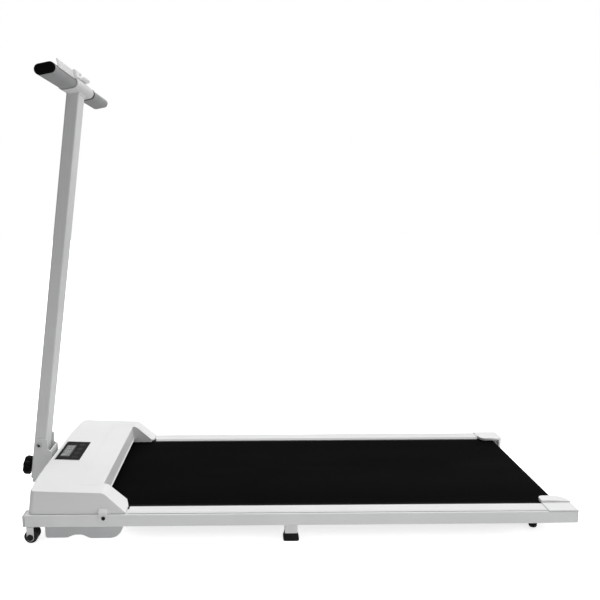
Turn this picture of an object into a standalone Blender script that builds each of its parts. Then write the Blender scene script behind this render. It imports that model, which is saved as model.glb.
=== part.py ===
"""Folding walking treadmill with a T-shaped handle on one post.

X runs along the machine from the rail fronts (motor end) to the rear, Y across it and Z up
from the floor, in metres. Everything hangs on one empty that moves the origin to the middle
of the machine's footprint.
"""
import math

import bmesh
import bpy
from mathutils import Vector

# ---------------------------------------------------------------- driving dimensions
ORIGIN_X = 0.5397              # middle of the whole machine, from the rail fronts
GAP = 0.0003                   # kept between solids that touch on the real machine

FRAME_HALF = 0.260             # half the width over the side rails
RAIL_LENGTH = 1.1562
RAIL_WIDTH = 0.030
RAIL_BOTTOM = 0.0370
RAIL_TOP = 0.0630
TUBE_WALL = 0.0015
RAIL_INNER = FRAME_HALF - RAIL_WIDTH

ROLLER_Z = 0.042               # height of both roller axes
FRONT_ROLLER_X = 0.150
REAR_ROLLER_X = 1.124
ROLLER_RADIUS = 0.0182
ROLLER_HALF = 0.2100
BELT_INNER_RADIUS = 0.0184
BELT_OUTER_RADIUS = 0.0200
BELT_HALF = 0.2045
AXLE_RADIUS = 0.0050
JOURNAL_RADIUS = 0.0028
PULLEY_NEAR = 0.2150
PULLEY_FAR = 0.2270
ROLLER_PULLEY_RADIUS = 0.0220

MOTOR_X = 0.070
MOTOR_Z = 0.062
MOTOR_RADIUS = 0.031
MOTOR_PULLEY_RADIUS = 0.0110

DECK_HALF = 0.2245
DECK_FRONT = 0.1760
DECK_REAR = 1.1020
DECK_TOP = 0.0600
DECK_BOTTOM = 0.0449
SUPPORT_TOP = 0.0446
SUPPORT_BOTTOM = 0.0300
SUPPORT_WIDTH = 0.030
SUPPORTS = {"front_deck_support": 0.205, "middle_deck_support": 0.556, "rear_deck_support": 1.050}

STRIP_INNER = 0.2170
STRIP_OUTER = 0.2585
STRIP_BOTTOM = 0.0633
STRIP_TOP = 0.0646
STRIP_START = 0.2138
CAP_START = 1.0960
CAP_END = 1.1592
CAP_TOP = 0.0662

HOOD_BOTTOM = 0.0633
HOOD_TOP_FRONT = 0.1130        # height of the hood's top at X = 0
HOOD_SLOPE = 0.0361            # fall of the top towards the rear, metres per metre
HOOD_REAR_TOP = 0.166
HOOD_REAR_END = 0.2130
HOOD_HALF = 0.2555
HOOD_WALL = 0.0025
HOOD_FRONT = -0.0010
HOOD_RISE = 0.050              # height over which the hood leans in by the two drafts below
HOOD_DRAFT = 0.0050
HOOD_SIDE_DRAFT = 0.0275       # as a share of the hood's half width
HOOD_BOW = 0.0045              # how far the front curves back at BOW_SPAN from the middle
BOW_SPAN = 0.222
BOW_STEPS = 6
HOOD_CORNER_X = 0.0062         # where the front's curve meets the line of the sides
HOOD_CORNER_Y = 0.236
HOOD_CUT = 0.2700              # half width of the shapes that cut the hood's profile
WING_INNER = 0.1975
WALL_FOOT = 0.0745             # height of the rear wall's lower edge
TAB_X = 0.1645
TAB_HALF = 0.0105
SCREW_Z = 0.057
SCREW_HOLE_RADIUS = 0.0021

DISPLAY_FRONT = 0.0132
DISPLAY_REAR = 0.0713
DISPLAY_HALF = 0.0640

PAN_FRONT = 0.0385
PAN_REAR = 0.2010
PAN_HALF = 0.2500
PAN_TOP = 0.0367
PAN_FLOOR = 0.0065
PAN_WALL = 0.0022

WHEEL_X = 0.0098
WHEEL_Y = 0.2414
WHEEL_HALF = 0.0149
WHEEL_RADIUS = 0.0140
WHEEL_BOLT_Y = 0.2410
STUD_HOLE_RADIUS = 0.0033      # holes for the wheel bolts and the rear feet
FORK_OUTER = 0.2595
FORK_INNER = 0.2235

LEG_X = 0.556
LEG_HALF = 0.0135
REAR_FOOT_X = 1.090
REAR_FOOT_Y = 0.1965

PIVOT_X = -0.0297
PIVOT_Z = 0.1360
LEAN = math.radians(8.25)      # the post leans this far towards the rear
POST_DEPTH = 0.0280
POST_HALF = 0.02775
POST_BOTTOM = -0.0819          # along the post, from the pivot
POST_TOP = 0.8300
PLATE = 0.0030
PLATE_INNER = 0.0285
BOLT_RADIUS = 0.0040
KNOB_DROP = 0.0641             # knob axis below the pivot, along the post
KNOB_RADIUS = 0.0230
KNOB_FACE = -0.0380
WEB_FRONT = 0.0242             # bracket's web behind the post, from the pivot
WEB_REAR = 0.0272
WEB_TOP = -0.0112              # along the post, from the pivot

BAR_RISE = 0.8239              # handlebar centre above the pivot, along the post
BAR_FORWARD = 0.0005
BAR_TILT = math.radians(-19.25)  # rear edge of the bar up, against the post's own axes
BAR_HALF = 0.2490
GRIP_START = 0.0820
GRIP_END = 0.2502
COVER_HALF = 0.0790
COLLAR_DEPTH = 0.0157          # half depth of the cover's collar round the post
COLLAR_HALF = 0.0294
COLLAR_BOTTOM = 0.8105         # along the post, from the pivot
BAR_OVAL = (0.0360, 0.0170)    # width and height of the flat ovals
BAR_HOLLOW = (0.0330, 0.0140)
SLEEVE_BORE = (0.0366, 0.0176)
COVER_OVAL = (0.0445, 0.0255)
GRIP_OVAL = (0.0410, 0.0215)
PLUG_OVAL = (0.0410, 0.0205)
SPIGOT_OVAL = (0.0324, 0.0134)
REST_INNER = 0.0208            # rest's upright face, just clear of the grips
REST_BOTTOM = 0.0131           # rest's saddle, just clear of the cover

SWITCH_Y = -0.1915
SWITCH_Z = 0.0230
SWITCH_PIVOT_X = 0.0415
SWITCH_REST = math.radians(-7)

# ---------------------------------------------------------------- scene and helpers
for old in list(bpy.data.objects):
    bpy.data.objects.remove(old, do_unlink=True)

PARTS = bpy.data.collections.new("walking_treadmill")
CUTTERS = bpy.data.collections.new("cutters")
bpy.context.scene.collection.children.link(PARTS)
bpy.context.scene.collection.children.link(CUTTERS)


def empty(name, location, rotation=(0, 0, 0), parent=None):
    """An axis or frame that pieces are parented to."""
    obj = bpy.data.objects.new(name, None)
    PARTS.objects.link(obj)
    obj.parent = parent
    obj.location = location
    obj.rotation_euler = rotation
    return obj


def material(name, colour, roughness, metallic=0.0):
    """One Principled BSDF."""
    mat = bpy.data.materials.new(name)
    mat.use_nodes = True
    shader = mat.node_tree.nodes["Principled BSDF"]
    shader.inputs["Base Color"].default_value = (*colour, 1.0)
    shader.inputs["Roughness"].default_value = roughness
    shader.inputs["Metallic"].default_value = metallic
    mat.diffuse_color = (*colour, 1.0)
    return mat


MAKERS = {
    "white_paint": lambda name: material(name, (0.80, 0.81, 0.82), 0.35),
    "white_plastic": lambda name: material(name, (0.83, 0.83, 0.84), 0.42),
    "grey_plastic": lambda name: material(name, (0.45, 0.46, 0.47), 0.55),
    "grip_rubber": lambda name: material(name, (0.36, 0.37, 0.38), 0.75),
    "black_plastic": lambda name: material(name, (0.020, 0.020, 0.022), 0.45),
    "black_rubber": lambda name: material(name, (0.025, 0.025, 0.025), 0.85),
    "belt_fabric": lambda name: material(name, (0.018, 0.018, 0.019), 0.80),
    "bare_steel": lambda name: material(name, (0.55, 0.55, 0.56), 0.35, 1.0),
    "black_steel": lambda name: material(name, (0.04, 0.04, 0.045), 0.40, 0.8),
    "aluminium": lambda name: material(name, (0.75, 0.76, 0.77), 0.40, 1.0),
    "fibreboard": lambda name: material(name, (0.26, 0.17, 0.10), 0.70),
    "circuit_board": lambda name: material(name, (0.03, 0.16, 0.07), 0.50),
    "dark_glass": lambda name: material(name, (0.015, 0.017, 0.020), 0.08),
}


def finish(obj, kind, parent):
    """Give a piece its own material, its parent and its collection."""
    if obj.name not in PARTS.objects:
        PARTS.objects.link(obj)
    obj.parent = parent
    obj.data.materials.clear()
    obj.data.materials.append(MAKERS[kind](obj.name))
    return obj


def as_cutter(obj, parent):
    """Keep a piece as a Boolean operand only."""
    for collection in list(obj.users_collection):
        collection.objects.unlink(obj)
    CUTTERS.objects.link(obj)
    obj.parent = parent
    obj.hide_render = True
    obj.display_type = "WIRE"
    return obj


def boolean(obj, other, operation):
    """Add an EXACT Boolean with another object."""
    modifier = obj.modifiers.new(operation.lower(), "BOOLEAN")
    modifier.operation = operation
    modifier.solver = "EXACT"
    modifier.object = other
    return obj


def rounded(corners, steps=3):
    """Outline through (x, y, radius) corners, each turned with an arc of its radius."""
    outline = []
    for index, (x, y, radius) in enumerate(corners):
        here = Vector((x, y))
        if radius == 0:
            outline.append((x, y))
            continue
        back = (Vector(corners[index - 1][:2]) - here).normalized()
        ahead = (Vector(corners[(index + 1) % len(corners)][:2]) - here).normalized()
        half = back.angle(ahead) / 2
        centre = here + (back + ahead).normalized() * radius / math.sin(half)
        start = here + back * radius / math.tan(half) - centre
        end = here + ahead * radius / math.tan(half) - centre
        first = math.atan2(start.y, start.x)
        sweep = (math.atan2(end.y, end.x) - first + math.pi) % math.tau - math.pi
        for step in range(steps + 1):
            angle = first + sweep * step / steps
            outline.append((centre.x + radius * math.cos(angle), centre.y + radius * math.sin(angle)))
    return outline


def rectangle(x0, y0, x1, y1, radius=0.0, steps=3):
    """A rectangle's outline, with round corners where a radius is given."""
    return rounded([(x, y, radius) for x, y in ((x0, y0), (x1, y0), (x1, y1), (x0, y1))], steps)


def oval(width, height, steps=6):
    """A flat oval about the origin: straight sides and full round ends."""
    radius = height / 2 - 1e-5
    return rectangle(-width / 2, -height / 2, width / 2, height / 2, radius, steps // 2)


def circle(x, y, radius, steps=12):
    """A round outline."""
    turns = [math.tau * step / steps for step in range(steps)]
    return [(x + radius * math.cos(turn), y + radius * math.sin(turn)) for turn in turns]


ALONG = {"X": (math.pi / 2, 0, math.pi / 2), "Y": (math.pi / 2, 0, 0), "Z": (0, 0, 0)}


def extrusion(name, outline, low, high, along, holes=()):
    """An outline carried from low to high along X (outline in y, z), Y (x, z) or Z (x, y)."""
    curve = bpy.data.curves.new(name, "CURVE")
    curve.dimensions = "2D"
    curve.fill_mode = "BOTH"
    curve.extrude = (high - low) / 2
    for loop in (outline, *holes):
        spline = curve.splines.new("POLY")
        spline.points.add(len(loop) - 1)
        spline.use_cyclic_u = True
        for point, (x, y) in zip(spline.points, loop):
            point.co = (x, y, 0, 1)
    source = bpy.data.objects.new(name + "_outline", curve)
    PARTS.objects.link(source)
    bpy.context.view_layer.update()
    evaluated = source.evaluated_get(bpy.context.evaluated_depsgraph_get())
    mesh = bpy.data.meshes.new_from_object(evaluated)
    bpy.data.objects.remove(source)
    bpy.data.curves.remove(curve)
    shape = bmesh.new()
    shape.from_mesh(mesh)
    bmesh.ops.remove_doubles(shape, verts=shape.verts, dist=1e-6)
    bmesh.ops.recalc_face_normals(shape, faces=shape.faces)
    shape.to_mesh(mesh)
    shape.free()
    mesh.name = name
    obj = bpy.data.objects.new(name, mesh)
    obj.rotation_euler = ALONG[along]
    obj.location = Vector([(low + high) / 2 if axis == along else 0.0 for axis in "XYZ"])
    return obj


def box(name, low, high, bevel=0.0):
    """A box between two corners, its origin at its centre."""
    low = Vector(low)
    high = Vector(high)
    mesh = bpy.data.meshes.new(name)
    shape = bmesh.new()
    bmesh.ops.create_cube(shape, size=1.0)
    bmesh.ops.scale(shape, vec=high - low, verts=shape.verts)
    shape.to_mesh(mesh)
    shape.free()
    obj = bpy.data.objects.new(name, mesh)
    obj.location = (low + high) / 2
    if bevel:
        modifier = obj.modifiers.new("bevel", "BEVEL")
        modifier.width = bevel
        modifier.segments = 1
    return obj


def turned(name, profile, steps=20, ring=False):
    """A solid turned about local Z; (radius, height) points run down its outer side."""
    mesh = bpy.data.meshes.new(name)
    count = len(profile)
    edges = [(index, index + 1) for index in range(count - 1)]
    if ring:
        edges.append((count - 1, 0))
    mesh.from_pydata([(radius, 0, height) for radius, height in profile], edges, [])
    obj = bpy.data.objects.new(name, mesh)
    screw = obj.modifiers.new("turn", "SCREW")
    screw.axis = "Z"
    screw.steps = steps
    screw.render_steps = steps
    screw.use_merge_vertices = True
    screw.merge_threshold = 0.00001
    return obj


def rod(name, radius, low, high, steps=12):
    """A plain cylinder along local Z."""
    return turned(name, [(0, high), (radius, high), (radius, low), (0, low)], steps)


def lay(obj, along, at):
    """Turn a piece made about local Z so that it lies along X or Y, with its origin at a point."""
    obj.rotation_euler = {"X": (0, math.pi / 2, 0), "Y": (-math.pi / 2, 0, 0), "Z": (0, 0, 0)}[along]
    obj.location = at
    return obj


def cut(obj, cutter, parent):
    """Take a shape away from a piece."""
    return boolean(obj, as_cutter(cutter, parent), "DIFFERENCE")


def add(obj, piece, parent):
    """Join a shape to a piece."""
    return boolean(obj, as_cutter(piece, parent), "UNION")


ROOT = empty("machine_origin", (-ORIGIN_X, 0, 0))
HANDLE = empty("handle_fold_axis", (PIVOT_X, 0, PIVOT_Z), (0, LEAN, 0), ROOT)
BAR = empty("handlebar_axis", (BAR_FORWARD, 0, BAR_RISE), (0, BAR_TILT, 0), HANDLE)
SIDES = {"left": -1, "right": 1}


# ---------------------------------------------------------------- frame
def side_rail(name, side):
    """Steel tube with its upper outer edge rounded, holed for axles and the hood screw."""
    outer = side * FRAME_HALF
    inner = side * RAIL_INNER
    outline = rounded([(inner, RAIL_BOTTOM, 0), (outer, RAIL_BOTTOM, 0.0015),
                       (outer, RAIL_TOP, 0.004), (inner, RAIL_TOP, 0)])
    hollow = rectangle(side * (RAIL_INNER + TUBE_WALL), RAIL_BOTTOM + TUBE_WALL,
                       side * (FRAME_HALF - TUBE_WALL), RAIL_TOP - TUBE_WALL)
    obj = extrusion(name, outline, 0.0, RAIL_LENGTH, "X", [hollow])
    finish(obj, "white_paint", ROOT)
    for tag, x in (("front", FRONT_ROLLER_X), ("rear", REAR_ROLLER_X)):
        hole = rod(f"{name}_{tag}_axle_hole", JOURNAL_RADIUS + GAP, -0.0030, 0.0030)
        cut(obj, lay(hole, "Y", (x, inner, ROLLER_Z)), ROOT)
    hole = rod(name + "_screw_hole", SCREW_HOLE_RADIUS, -0.0030, 0.0030)
    cut(obj, lay(hole, "Y", (TAB_X, outer, SCREW_Z)), ROOT)


def rail_front_plug(name, side):
    """Plastic plug in the front end of a rail."""
    middle = side * (FRAME_HALF - RAIL_WIDTH / 2)
    half = RAIL_WIDTH / 2
    spigot = half - TUBE_WALL - GAP
    obj = box(name, (-0.0045, middle - half, RAIL_BOTTOM),
              (-GAP, middle + half, RAIL_TOP))
    finish(obj, "grey_plastic", ROOT)
    inside = box("plug_spigot", (-0.0010, middle - spigot, RAIL_BOTTOM + TUBE_WALL + GAP),
                 (0.0140, middle + spigot, RAIL_TOP - TUBE_WALL - GAP))
    add(obj, inside, ROOT)


def tube_across(name, low_x, high_x, low_z, high_z):
    """Steel box tube between the rails."""
    hollow = rectangle(low_x + TUBE_WALL, low_z + TUBE_WALL, high_x - TUBE_WALL, high_z - TUBE_WALL)
    reach = RAIL_INNER - GAP
    obj = extrusion(name, rectangle(low_x, low_z, high_x, high_z), -reach, reach, "Y", [hollow])
    return finish(obj, "white_paint", ROOT)


def deck_and_supports():
    """Fibreboard running deck on three cross tubes."""
    deck = box("running_deck", (DECK_FRONT, -DECK_HALF, DECK_BOTTOM), (DECK_REAR, DECK_HALF, DECK_TOP))
    finish(deck, "fibreboard", ROOT)
    for name, x in SUPPORTS.items():
        half = SUPPORT_WIDTH / 2
        tube_across(name, x - half, x + half, SUPPORT_BOTTOM, SUPPORT_TOP)


def foot_rail(name, side):
    """Plastic strip on which the user can stand, lying on the side rail."""
    outline = rounded([(side * STRIP_INNER, STRIP_BOTTOM, 0), (side * STRIP_OUTER, STRIP_BOTTOM, 0),
                       (side * (STRIP_OUTER - 0.0004), STRIP_TOP, 0.0006),
                       (side * (STRIP_INNER + 0.0003), STRIP_TOP, 0.0006)])
    obj = extrusion(name, outline, STRIP_START, CAP_START - GAP, "X")
    finish(obj, "white_plastic", ROOT)


def end_cap(name, side):
    """Rear cover: a flat plate over the rail, a raised lobe over the belt edge and a back wall."""
    def span(low, high, low_y, high_y, low_z, high_z, tag):
        first, last = sorted((side * low_y, side * high_y))
        return box(f"{name}_{tag}", (low, first, low_z), (high, last, high_z))

    plate = rounded([(CAP_START, side * 0.2198, 0), (CAP_END, side * 0.2198, 0),
                     (CAP_END, side * 0.2596, 0.006), (CAP_START, side * 0.2596, 0)])
    obj = extrusion(name, plate, STRIP_BOTTOM, CAP_TOP, "Z")
    finish(obj, "white_plastic", ROOT)
    lobe = rounded([(1.0985, side * 0.2188, 0), (1.0985, side * 0.1920, 0.012),
                    (1.1500, side * 0.1920, 0.018), (1.1555, side * 0.2188, 0)], 5)
    add(obj, extrusion(name + "_lobe", lobe, 0.0640, 0.0700, "Z"), ROOT)
    add(obj, span(1.1000, 1.1540, 0.2150, 0.2240, 0.0642, 0.0652, "bridge"), ROOT)
    add(obj, span(1.1478, 1.1580, 0.1960, 0.2180, 0.0375, 0.0650, "lobe_wall"), ROOT)
    add(obj, span(1.1482, CAP_END - 0.0002, 0.2170, 0.2296, 0.0372, 0.0650, "link"), ROOT)
    add(obj, span(1.1566, CAP_END, 0.2200, 0.2590, 0.0370, 0.0648, "back"), ROOT)


# ---------------------------------------------------------------- running gear
def belt_loop(first, first_radius, second, second_radius, steps=8):
    """Outline of an open belt round two circles, each centre given as (x, z)."""
    start = Vector(first)
    line = Vector(second) - start
    heading = math.atan2(line.y, line.x)
    spread = math.acos((first_radius - second_radius) / line.length)
    outline = []
    for centre, radius, low, high in ((first, first_radius, heading + spread, heading - spread + math.tau),
                                      (second, second_radius, heading - spread, heading + spread)):
        for step in range(steps + 1):
            angle = low + (high - low) * step / steps
            outline.append((centre[0] + radius * math.cos(angle), centre[1] + radius * math.sin(angle)))
    return outline


def rollers_and_belts():
    """Two rollers on fixed axles, the walking belt, the motor rotor and the ribbed drive belt."""
    bore = AXLE_RADIUS + GAP
    front = turned("front_roller", [
        (ROLLER_RADIUS, ROLLER_HALF), (ROLLER_RADIUS, -ROLLER_HALF), (bore, -ROLLER_HALF),
        (bore, PULLEY_FAR), (ROLLER_PULLEY_RADIUS, PULLEY_FAR), (ROLLER_PULLEY_RADIUS, PULLEY_NEAR),
        (0.0150, PULLEY_NEAR), (0.0150, ROLLER_HALF)], 24, ring=True)
    finish(lay(front, "Y", (FRONT_ROLLER_X, 0, ROLLER_Z)), "bare_steel", ROOT)
    rear = turned("rear_roller", [(ROLLER_RADIUS, ROLLER_HALF), (ROLLER_RADIUS, -ROLLER_HALF),
                                  (bore, -ROLLER_HALF), (bore, ROLLER_HALF)], 24, ring=True)
    finish(lay(rear, "Y", (REAR_ROLLER_X, 0, ROLLER_Z)), "bare_steel", ROOT)

    for name, x in (("front_roller_axle", FRONT_ROLLER_X), ("rear_roller_axle", REAR_ROLLER_X)):
        axle = turned(name, [(0, 0.2420), (JOURNAL_RADIUS, 0.2420), (JOURNAL_RADIUS, 0.2290),
                             (AXLE_RADIUS, 0.2290), (AXLE_RADIUS, -0.2290), (JOURNAL_RADIUS, -0.2290),
                             (JOURNAL_RADIUS, -0.2420), (0, -0.2420)], 12)
        finish(lay(axle, "Y", (x, 0, ROLLER_Z)), "bare_steel", ROOT)

    ends = ((FRONT_ROLLER_X, ROLLER_Z), (REAR_ROLLER_X, ROLLER_Z))
    outside = belt_loop(ends[0], BELT_OUTER_RADIUS, ends[1], BELT_OUTER_RADIUS, 12)
    inside = belt_loop(ends[0], BELT_INNER_RADIUS, ends[1], BELT_INNER_RADIUS, 12)
    belt = extrusion("walking_belt", outside, -BELT_HALF, BELT_HALF, "Y", [inside])
    finish(belt, "belt_fabric", ROOT)

    shaft = turned("motor_shaft", [
        (0, 0.2290), (0.0050, 0.2290), (0.0050, PULLEY_FAR), (MOTOR_PULLEY_RADIUS, PULLEY_FAR),
        (MOTOR_PULLEY_RADIUS, PULLEY_NEAR), (0.0050, PULLEY_NEAR), (0.0050, 0.2115), (0.0280, 0.2115),
        (0.0280, 0.2035), (0.0050, 0.2035), (0.0050, 0.0800), (0, 0.0800)], 24)
    finish(lay(shaft, "Y", (MOTOR_X, 0, MOTOR_Z)), "bare_steel", ROOT)
    pulleys = (MOTOR_X, MOTOR_Z), (FRONT_ROLLER_X, ROLLER_Z)
    slack = 0.0006
    inside = belt_loop(pulleys[0], MOTOR_PULLEY_RADIUS + slack, pulleys[1],
                       ROLLER_PULLEY_RADIUS + slack, 14)
    outside = belt_loop(pulleys[0], MOTOR_PULLEY_RADIUS + 0.0024, pulleys[1],
                        ROLLER_PULLEY_RADIUS + 0.0024, 14)
    drive = extrusion("drive_belt", outside, PULLEY_NEAR + 0.0005, PULLEY_FAR - 0.0005, "Y", [inside])
    finish(drive, "black_rubber", ROOT)


def motor_and_controls():
    """Motor on its bracket, the control board with its heat sink and the inlet with its switch."""
    housing = turned("motor_housing", [
        (0.0150, 0.2000), (MOTOR_RADIUS - 0.003, 0.2000), (MOTOR_RADIUS, 0.1970), (MOTOR_RADIUS, 0.0750),
        (MOTOR_RADIUS - 0.003, 0.0720), (0.0054, 0.0720), (0.0054, 0.2000)], 28, ring=True)
    finish(lay(housing, "Y", (MOTOR_X, 0, MOTOR_Z)), "black_steel", ROOT)
    angle = [(0.0303, 0.0350), (0.0328, 0.0350), (0.0328, 0.0692), (0.0950, 0.0692),
             (0.0950, 0.0717), (0.0303, 0.0717)]
    finish(extrusion("motor_bracket", angle, 0.0382, 0.0860, "Z"), "bare_steel", ROOT)

    board = box("control_board", (0.0440, -0.1650, 0.0220), (0.0860, -0.0250, 0.0236))
    finish(board, "circuit_board", ROOT)
    for x in (0.0480, 0.0800):
        for y in (-0.1600, -0.0300):
            stand = rod("board_foot", 0.0025, 0.0120, 0.0225, 8)
            add(board, lay(stand, "Z", (x, y, 0)), ROOT)
    finish(extrusion("heat_sink", heat_sink_outline(), -0.1500, -0.0600, "Y"), "aluminium", ROOT)

    inlet = box("power_inlet", (0.0358, -0.2360, 0.0115), (0.0382, -0.1800, 0.0345))
    finish(inlet, "black_plastic", ROOT)
    add(inlet, box("inlet_body", (0.0370, -0.2320, 0.0136), (0.0620, -0.1820, 0.0324)), ROOT)
    cut(inlet, box("inlet_socket", (0.0300, -0.2300, 0.0150), (0.0530, -0.2070, 0.0310)), ROOT)
    cut(inlet, box("switch_well", (0.0300, -0.1995, 0.0150), (0.0500, -0.1835, 0.0310)), ROOT)
    for y, z in ((-0.2255, 0.0205), (-0.2115, 0.0205), (-0.2185, 0.0260)):
        pin = box("inlet_pin", (0.0410, y - 0.0010, z - 0.0020), (0.0560, y + 0.0010, z + 0.0020))
        add(inlet, pin, ROOT)

    switch_axis = empty("switch_axis", (SWITCH_PIVOT_X, SWITCH_Y, SWITCH_Z), (0, SWITCH_REST, 0), ROOT)
    face = [(0.0030, -0.0050), (0.0030, 0.0050), (-0.0045, 0.0068), (-0.0062, 0.0), (-0.0045, -0.0068)]
    finish(extrusion("power_switch", face, -0.0070, 0.0070, "Y"), "black_plastic", switch_axis)


def heat_sink_outline():
    """A base with four upright fins, seen along the sink."""
    outline = [(0.0470, 0.0239), (0.0650, 0.0239)]
    for fin in range(4):
        right = 0.0650 - 0.0053 * fin
        outline += [(right, 0.0540), (right - 0.0021, 0.0540)]
        if fin < 3:
            outline += [(right - 0.0021, 0.0280), (right - 0.0053, 0.0280)]
    return outline


# ---------------------------------------------------------------- hood, display and pan
def hood_top(x):
    """Height of the hood's top at a distance from the rail fronts."""
    return HOOD_TOP_FRONT - HOOD_SLOPE * x


def hood_plan(name, inset, low, high):
    """Plan of the hood: bowed front, round corners, straight sides leaning inwards as they rise."""
    half = HOOD_HALF - inset
    bow = []
    for step in range(-BOW_STEPS, BOW_STEPS + 1):
        y = step / BOW_STEPS * HOOD_CORNER_Y
        bow.append((HOOD_FRONT + inset + HOOD_BOW * (y / BOW_SPAN) ** 4, y, 0))
    corners = [(0.240, -half, 0), (HOOD_CORNER_X + inset, -half, 0.012), *bow[1:-1],
               (HOOD_CORNER_X + inset, half, 0.012), (0.240, half, 0)]
    obj = extrusion(name, rounded(corners, 3), low, high, "Z")
    rise = high - low
    for vertex in obj.data.vertices:
        share = (vertex.co.z + rise / 2) / rise
        height = (low + share * rise - HOOD_BOTTOM) / HOOD_RISE
        vertex.co.y *= 1 - HOOD_SIDE_DRAFT * height
        if vertex.co.x < 0.10:
            vertex.co.x += HOOD_DRAFT * height
    return obj


def hood_side(name, inset, half, bottom):
    """Side profile of the hood carried across it."""
    outline = rounded([(-0.0300, bottom, 0), (-0.0300, hood_top(-0.030) - inset, 0),
                       (HOOD_REAR_TOP - inset * 0.4, hood_top(HOOD_REAR_TOP) - inset, 0.010),
                       (HOOD_REAR_END - inset, 0.0660 - inset * 0.3, 0),
                       (HOOD_REAR_END - inset, bottom, 0)])
    return extrusion(name, outline, -half, half, "Y")


def hood_notch(name, grow):
    """Space between the two rear wings, in front of which the rear wall leans."""
    outline = [(0.1525 - grow, 0.1200), (0.1592 - grow, WALL_FOOT), (0.1592 - grow, 0.0400),
               (0.2400, 0.0400), (0.2400, 0.1200)]
    half = WING_INNER + grow
    return extrusion(name, outline, -half, half, "Y")


def motor_hood():
    """Moulded cover over the motor end."""
    hood = hood_side("motor_hood", 0.0, HOOD_CUT, HOOD_BOTTOM)
    finish(hood, "white_plastic", ROOT)
    boolean(hood, as_cutter(hood_plan("hood_plan", 0.0, 0.0500, 0.1250), ROOT), "INTERSECT")
    cut(hood, hood_notch("hood_notch", 0.0), ROOT)
    bevel = hood.modifiers.new("bevel", "BEVEL")
    bevel.width = 0.0022
    bevel.segments = 2
    bevel.limit_method = "ANGLE"
    bevel.angle_limit = math.radians(35)
    bevel.use_clamp_overlap = True

    cavity = hood_side("hood_cavity", HOOD_WALL, HOOD_CUT, 0.0400)
    boolean(cavity, as_cutter(hood_plan("cavity_plan", HOOD_WALL, 0.0300, 0.1250), ROOT), "INTERSECT")
    boolean(cavity, as_cutter(hood_notch("cavity_notch", HOOD_WALL), ROOT), "DIFFERENCE")
    cut(hood, cavity, ROOT)
    cut(hood, box("belt_gap", (0.1000, -WING_INNER, 0.0400), (0.1700, WING_INNER, WALL_FOOT)), ROOT)
    opening = box("display_opening", (DISPLAY_FRONT - GAP, -DISPLAY_HALF - GAP, 0.1000),
                  (DISPLAY_REAR + GAP, DISPLAY_HALF + GAP, 0.1300))
    cut(hood, opening, ROOT)
    for side_name, side in SIDES.items():
        for tag, reach, low, high in (("ledge", 0.2518, 0.0640, 0.0760), ("tab", 0.2603, 0.0520, 0.0750)):
            first, last = sorted((side * reach, side * 0.2625))
            tab = box("hood_" + tag, (TAB_X - TAB_HALF, first, low), (TAB_X + TAB_HALF, last, high))
            add(hood, tab, ROOT)
        hole = rod("tab_hole", SCREW_HOLE_RADIUS, -0.0040, 0.0040)
        cut(hood, lay(hole, "Y", (TAB_X, side * 0.2610, SCREW_Z)), ROOT)
        screw = turned(side_name + "_hood_screw", [
            (0, 0.0053), (0.0030, 0.0053), (0.0040, 0.0043), (0.0040, 0.0028), (0.0018, 0.0028),
            (0.0018, -0.0030), (0, -0.0030)], 12)
        finish(lay(screw, "Y", (TAB_X, side * FRAME_HALF, SCREW_Z)), "black_steel", ROOT)
        if side < 0:
            screw.rotation_euler.x = math.pi / 2


def display():
    """Console set into the hood: black frame, display window and circuit board."""
    middle = (DISPLAY_FRONT + DISPLAY_REAR) / 2
    level = empty("display_plane", (middle, 0, hood_top(middle)), (0, math.atan(HOOD_SLOPE), 0), ROOT)
    half_x = (DISPLAY_REAR - DISPLAY_FRONT) / 2 - GAP
    half_y = DISPLAY_HALF - GAP
    frame = box("display_frame", (-half_x, -half_y, -0.0045), (half_x, half_y, 0.0005))
    finish(frame, "black_plastic", level)
    lip = box("display_lip", (-half_x - 0.0030, -half_y - 0.0030, -0.0045),
              (half_x + 0.0030, half_y + 0.0030, -0.0031))
    add(frame, lip, level)
    window_low, window_high, window_half = -0.0228, -0.0005, 0.0395
    cut(frame, box("window_opening", (window_low, -window_half, -0.0100),
                   (window_high, window_half, 0.0100)), level)
    window = box("display_window", (window_low + GAP, -window_half + GAP, -0.0025),
                 (window_high - GAP, window_half - GAP, 0.0003))
    finish(window, "dark_glass", level)
    board = box("display_board", (-half_x + 0.002, -half_y + 0.004, -0.0075),
                (half_x - 0.002, half_y - 0.004, -0.0060))
    finish(board, "circuit_board", level)


def bottom_pan():
    """Moulded tray under the motor end, its floor dipping under the motor and the front roller."""
    floor = [(PAN_FRONT, 0.0080, 0.004), (0.0840, 0.0080, 0.012), (0.1000, 0.0145, 0.012),
             (0.1160, 0.0145, 0.012), (0.1320, PAN_FLOOR, 0.012)]
    outline = rounded([*floor, (PAN_REAR, PAN_FLOOR, 0.0270), (PAN_REAR, PAN_TOP, 0),
                       (PAN_FRONT, PAN_TOP, 0)])
    pan = extrusion("bottom_pan", outline, -PAN_HALF, PAN_HALF, "Y")
    finish(pan, "grey_plastic", ROOT)
    front = PAN_FRONT + PAN_WALL
    raised = [(max(x, front), z + PAN_WALL, radius) for x, z, radius in floor]
    inside = rounded([*raised, (0.1720, PAN_FLOOR + PAN_WALL, 0.022), (0.1860, 0.0163, 0),
                      (0.1860, -0.0200, 0), (0.2200, -0.0200, 0), (0.2200, 0.0600, 0), (front, 0.0600, 0)])
    half = PAN_HALF - 0.0025
    cut(pan, extrusion("pan_inside", inside, -half, half, "Y"), ROOT)
    cut(pan, box("inlet_opening", (0.0300, -0.2323, 0.0133), (0.0430, -0.1817, 0.0327)), ROOT)


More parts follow.
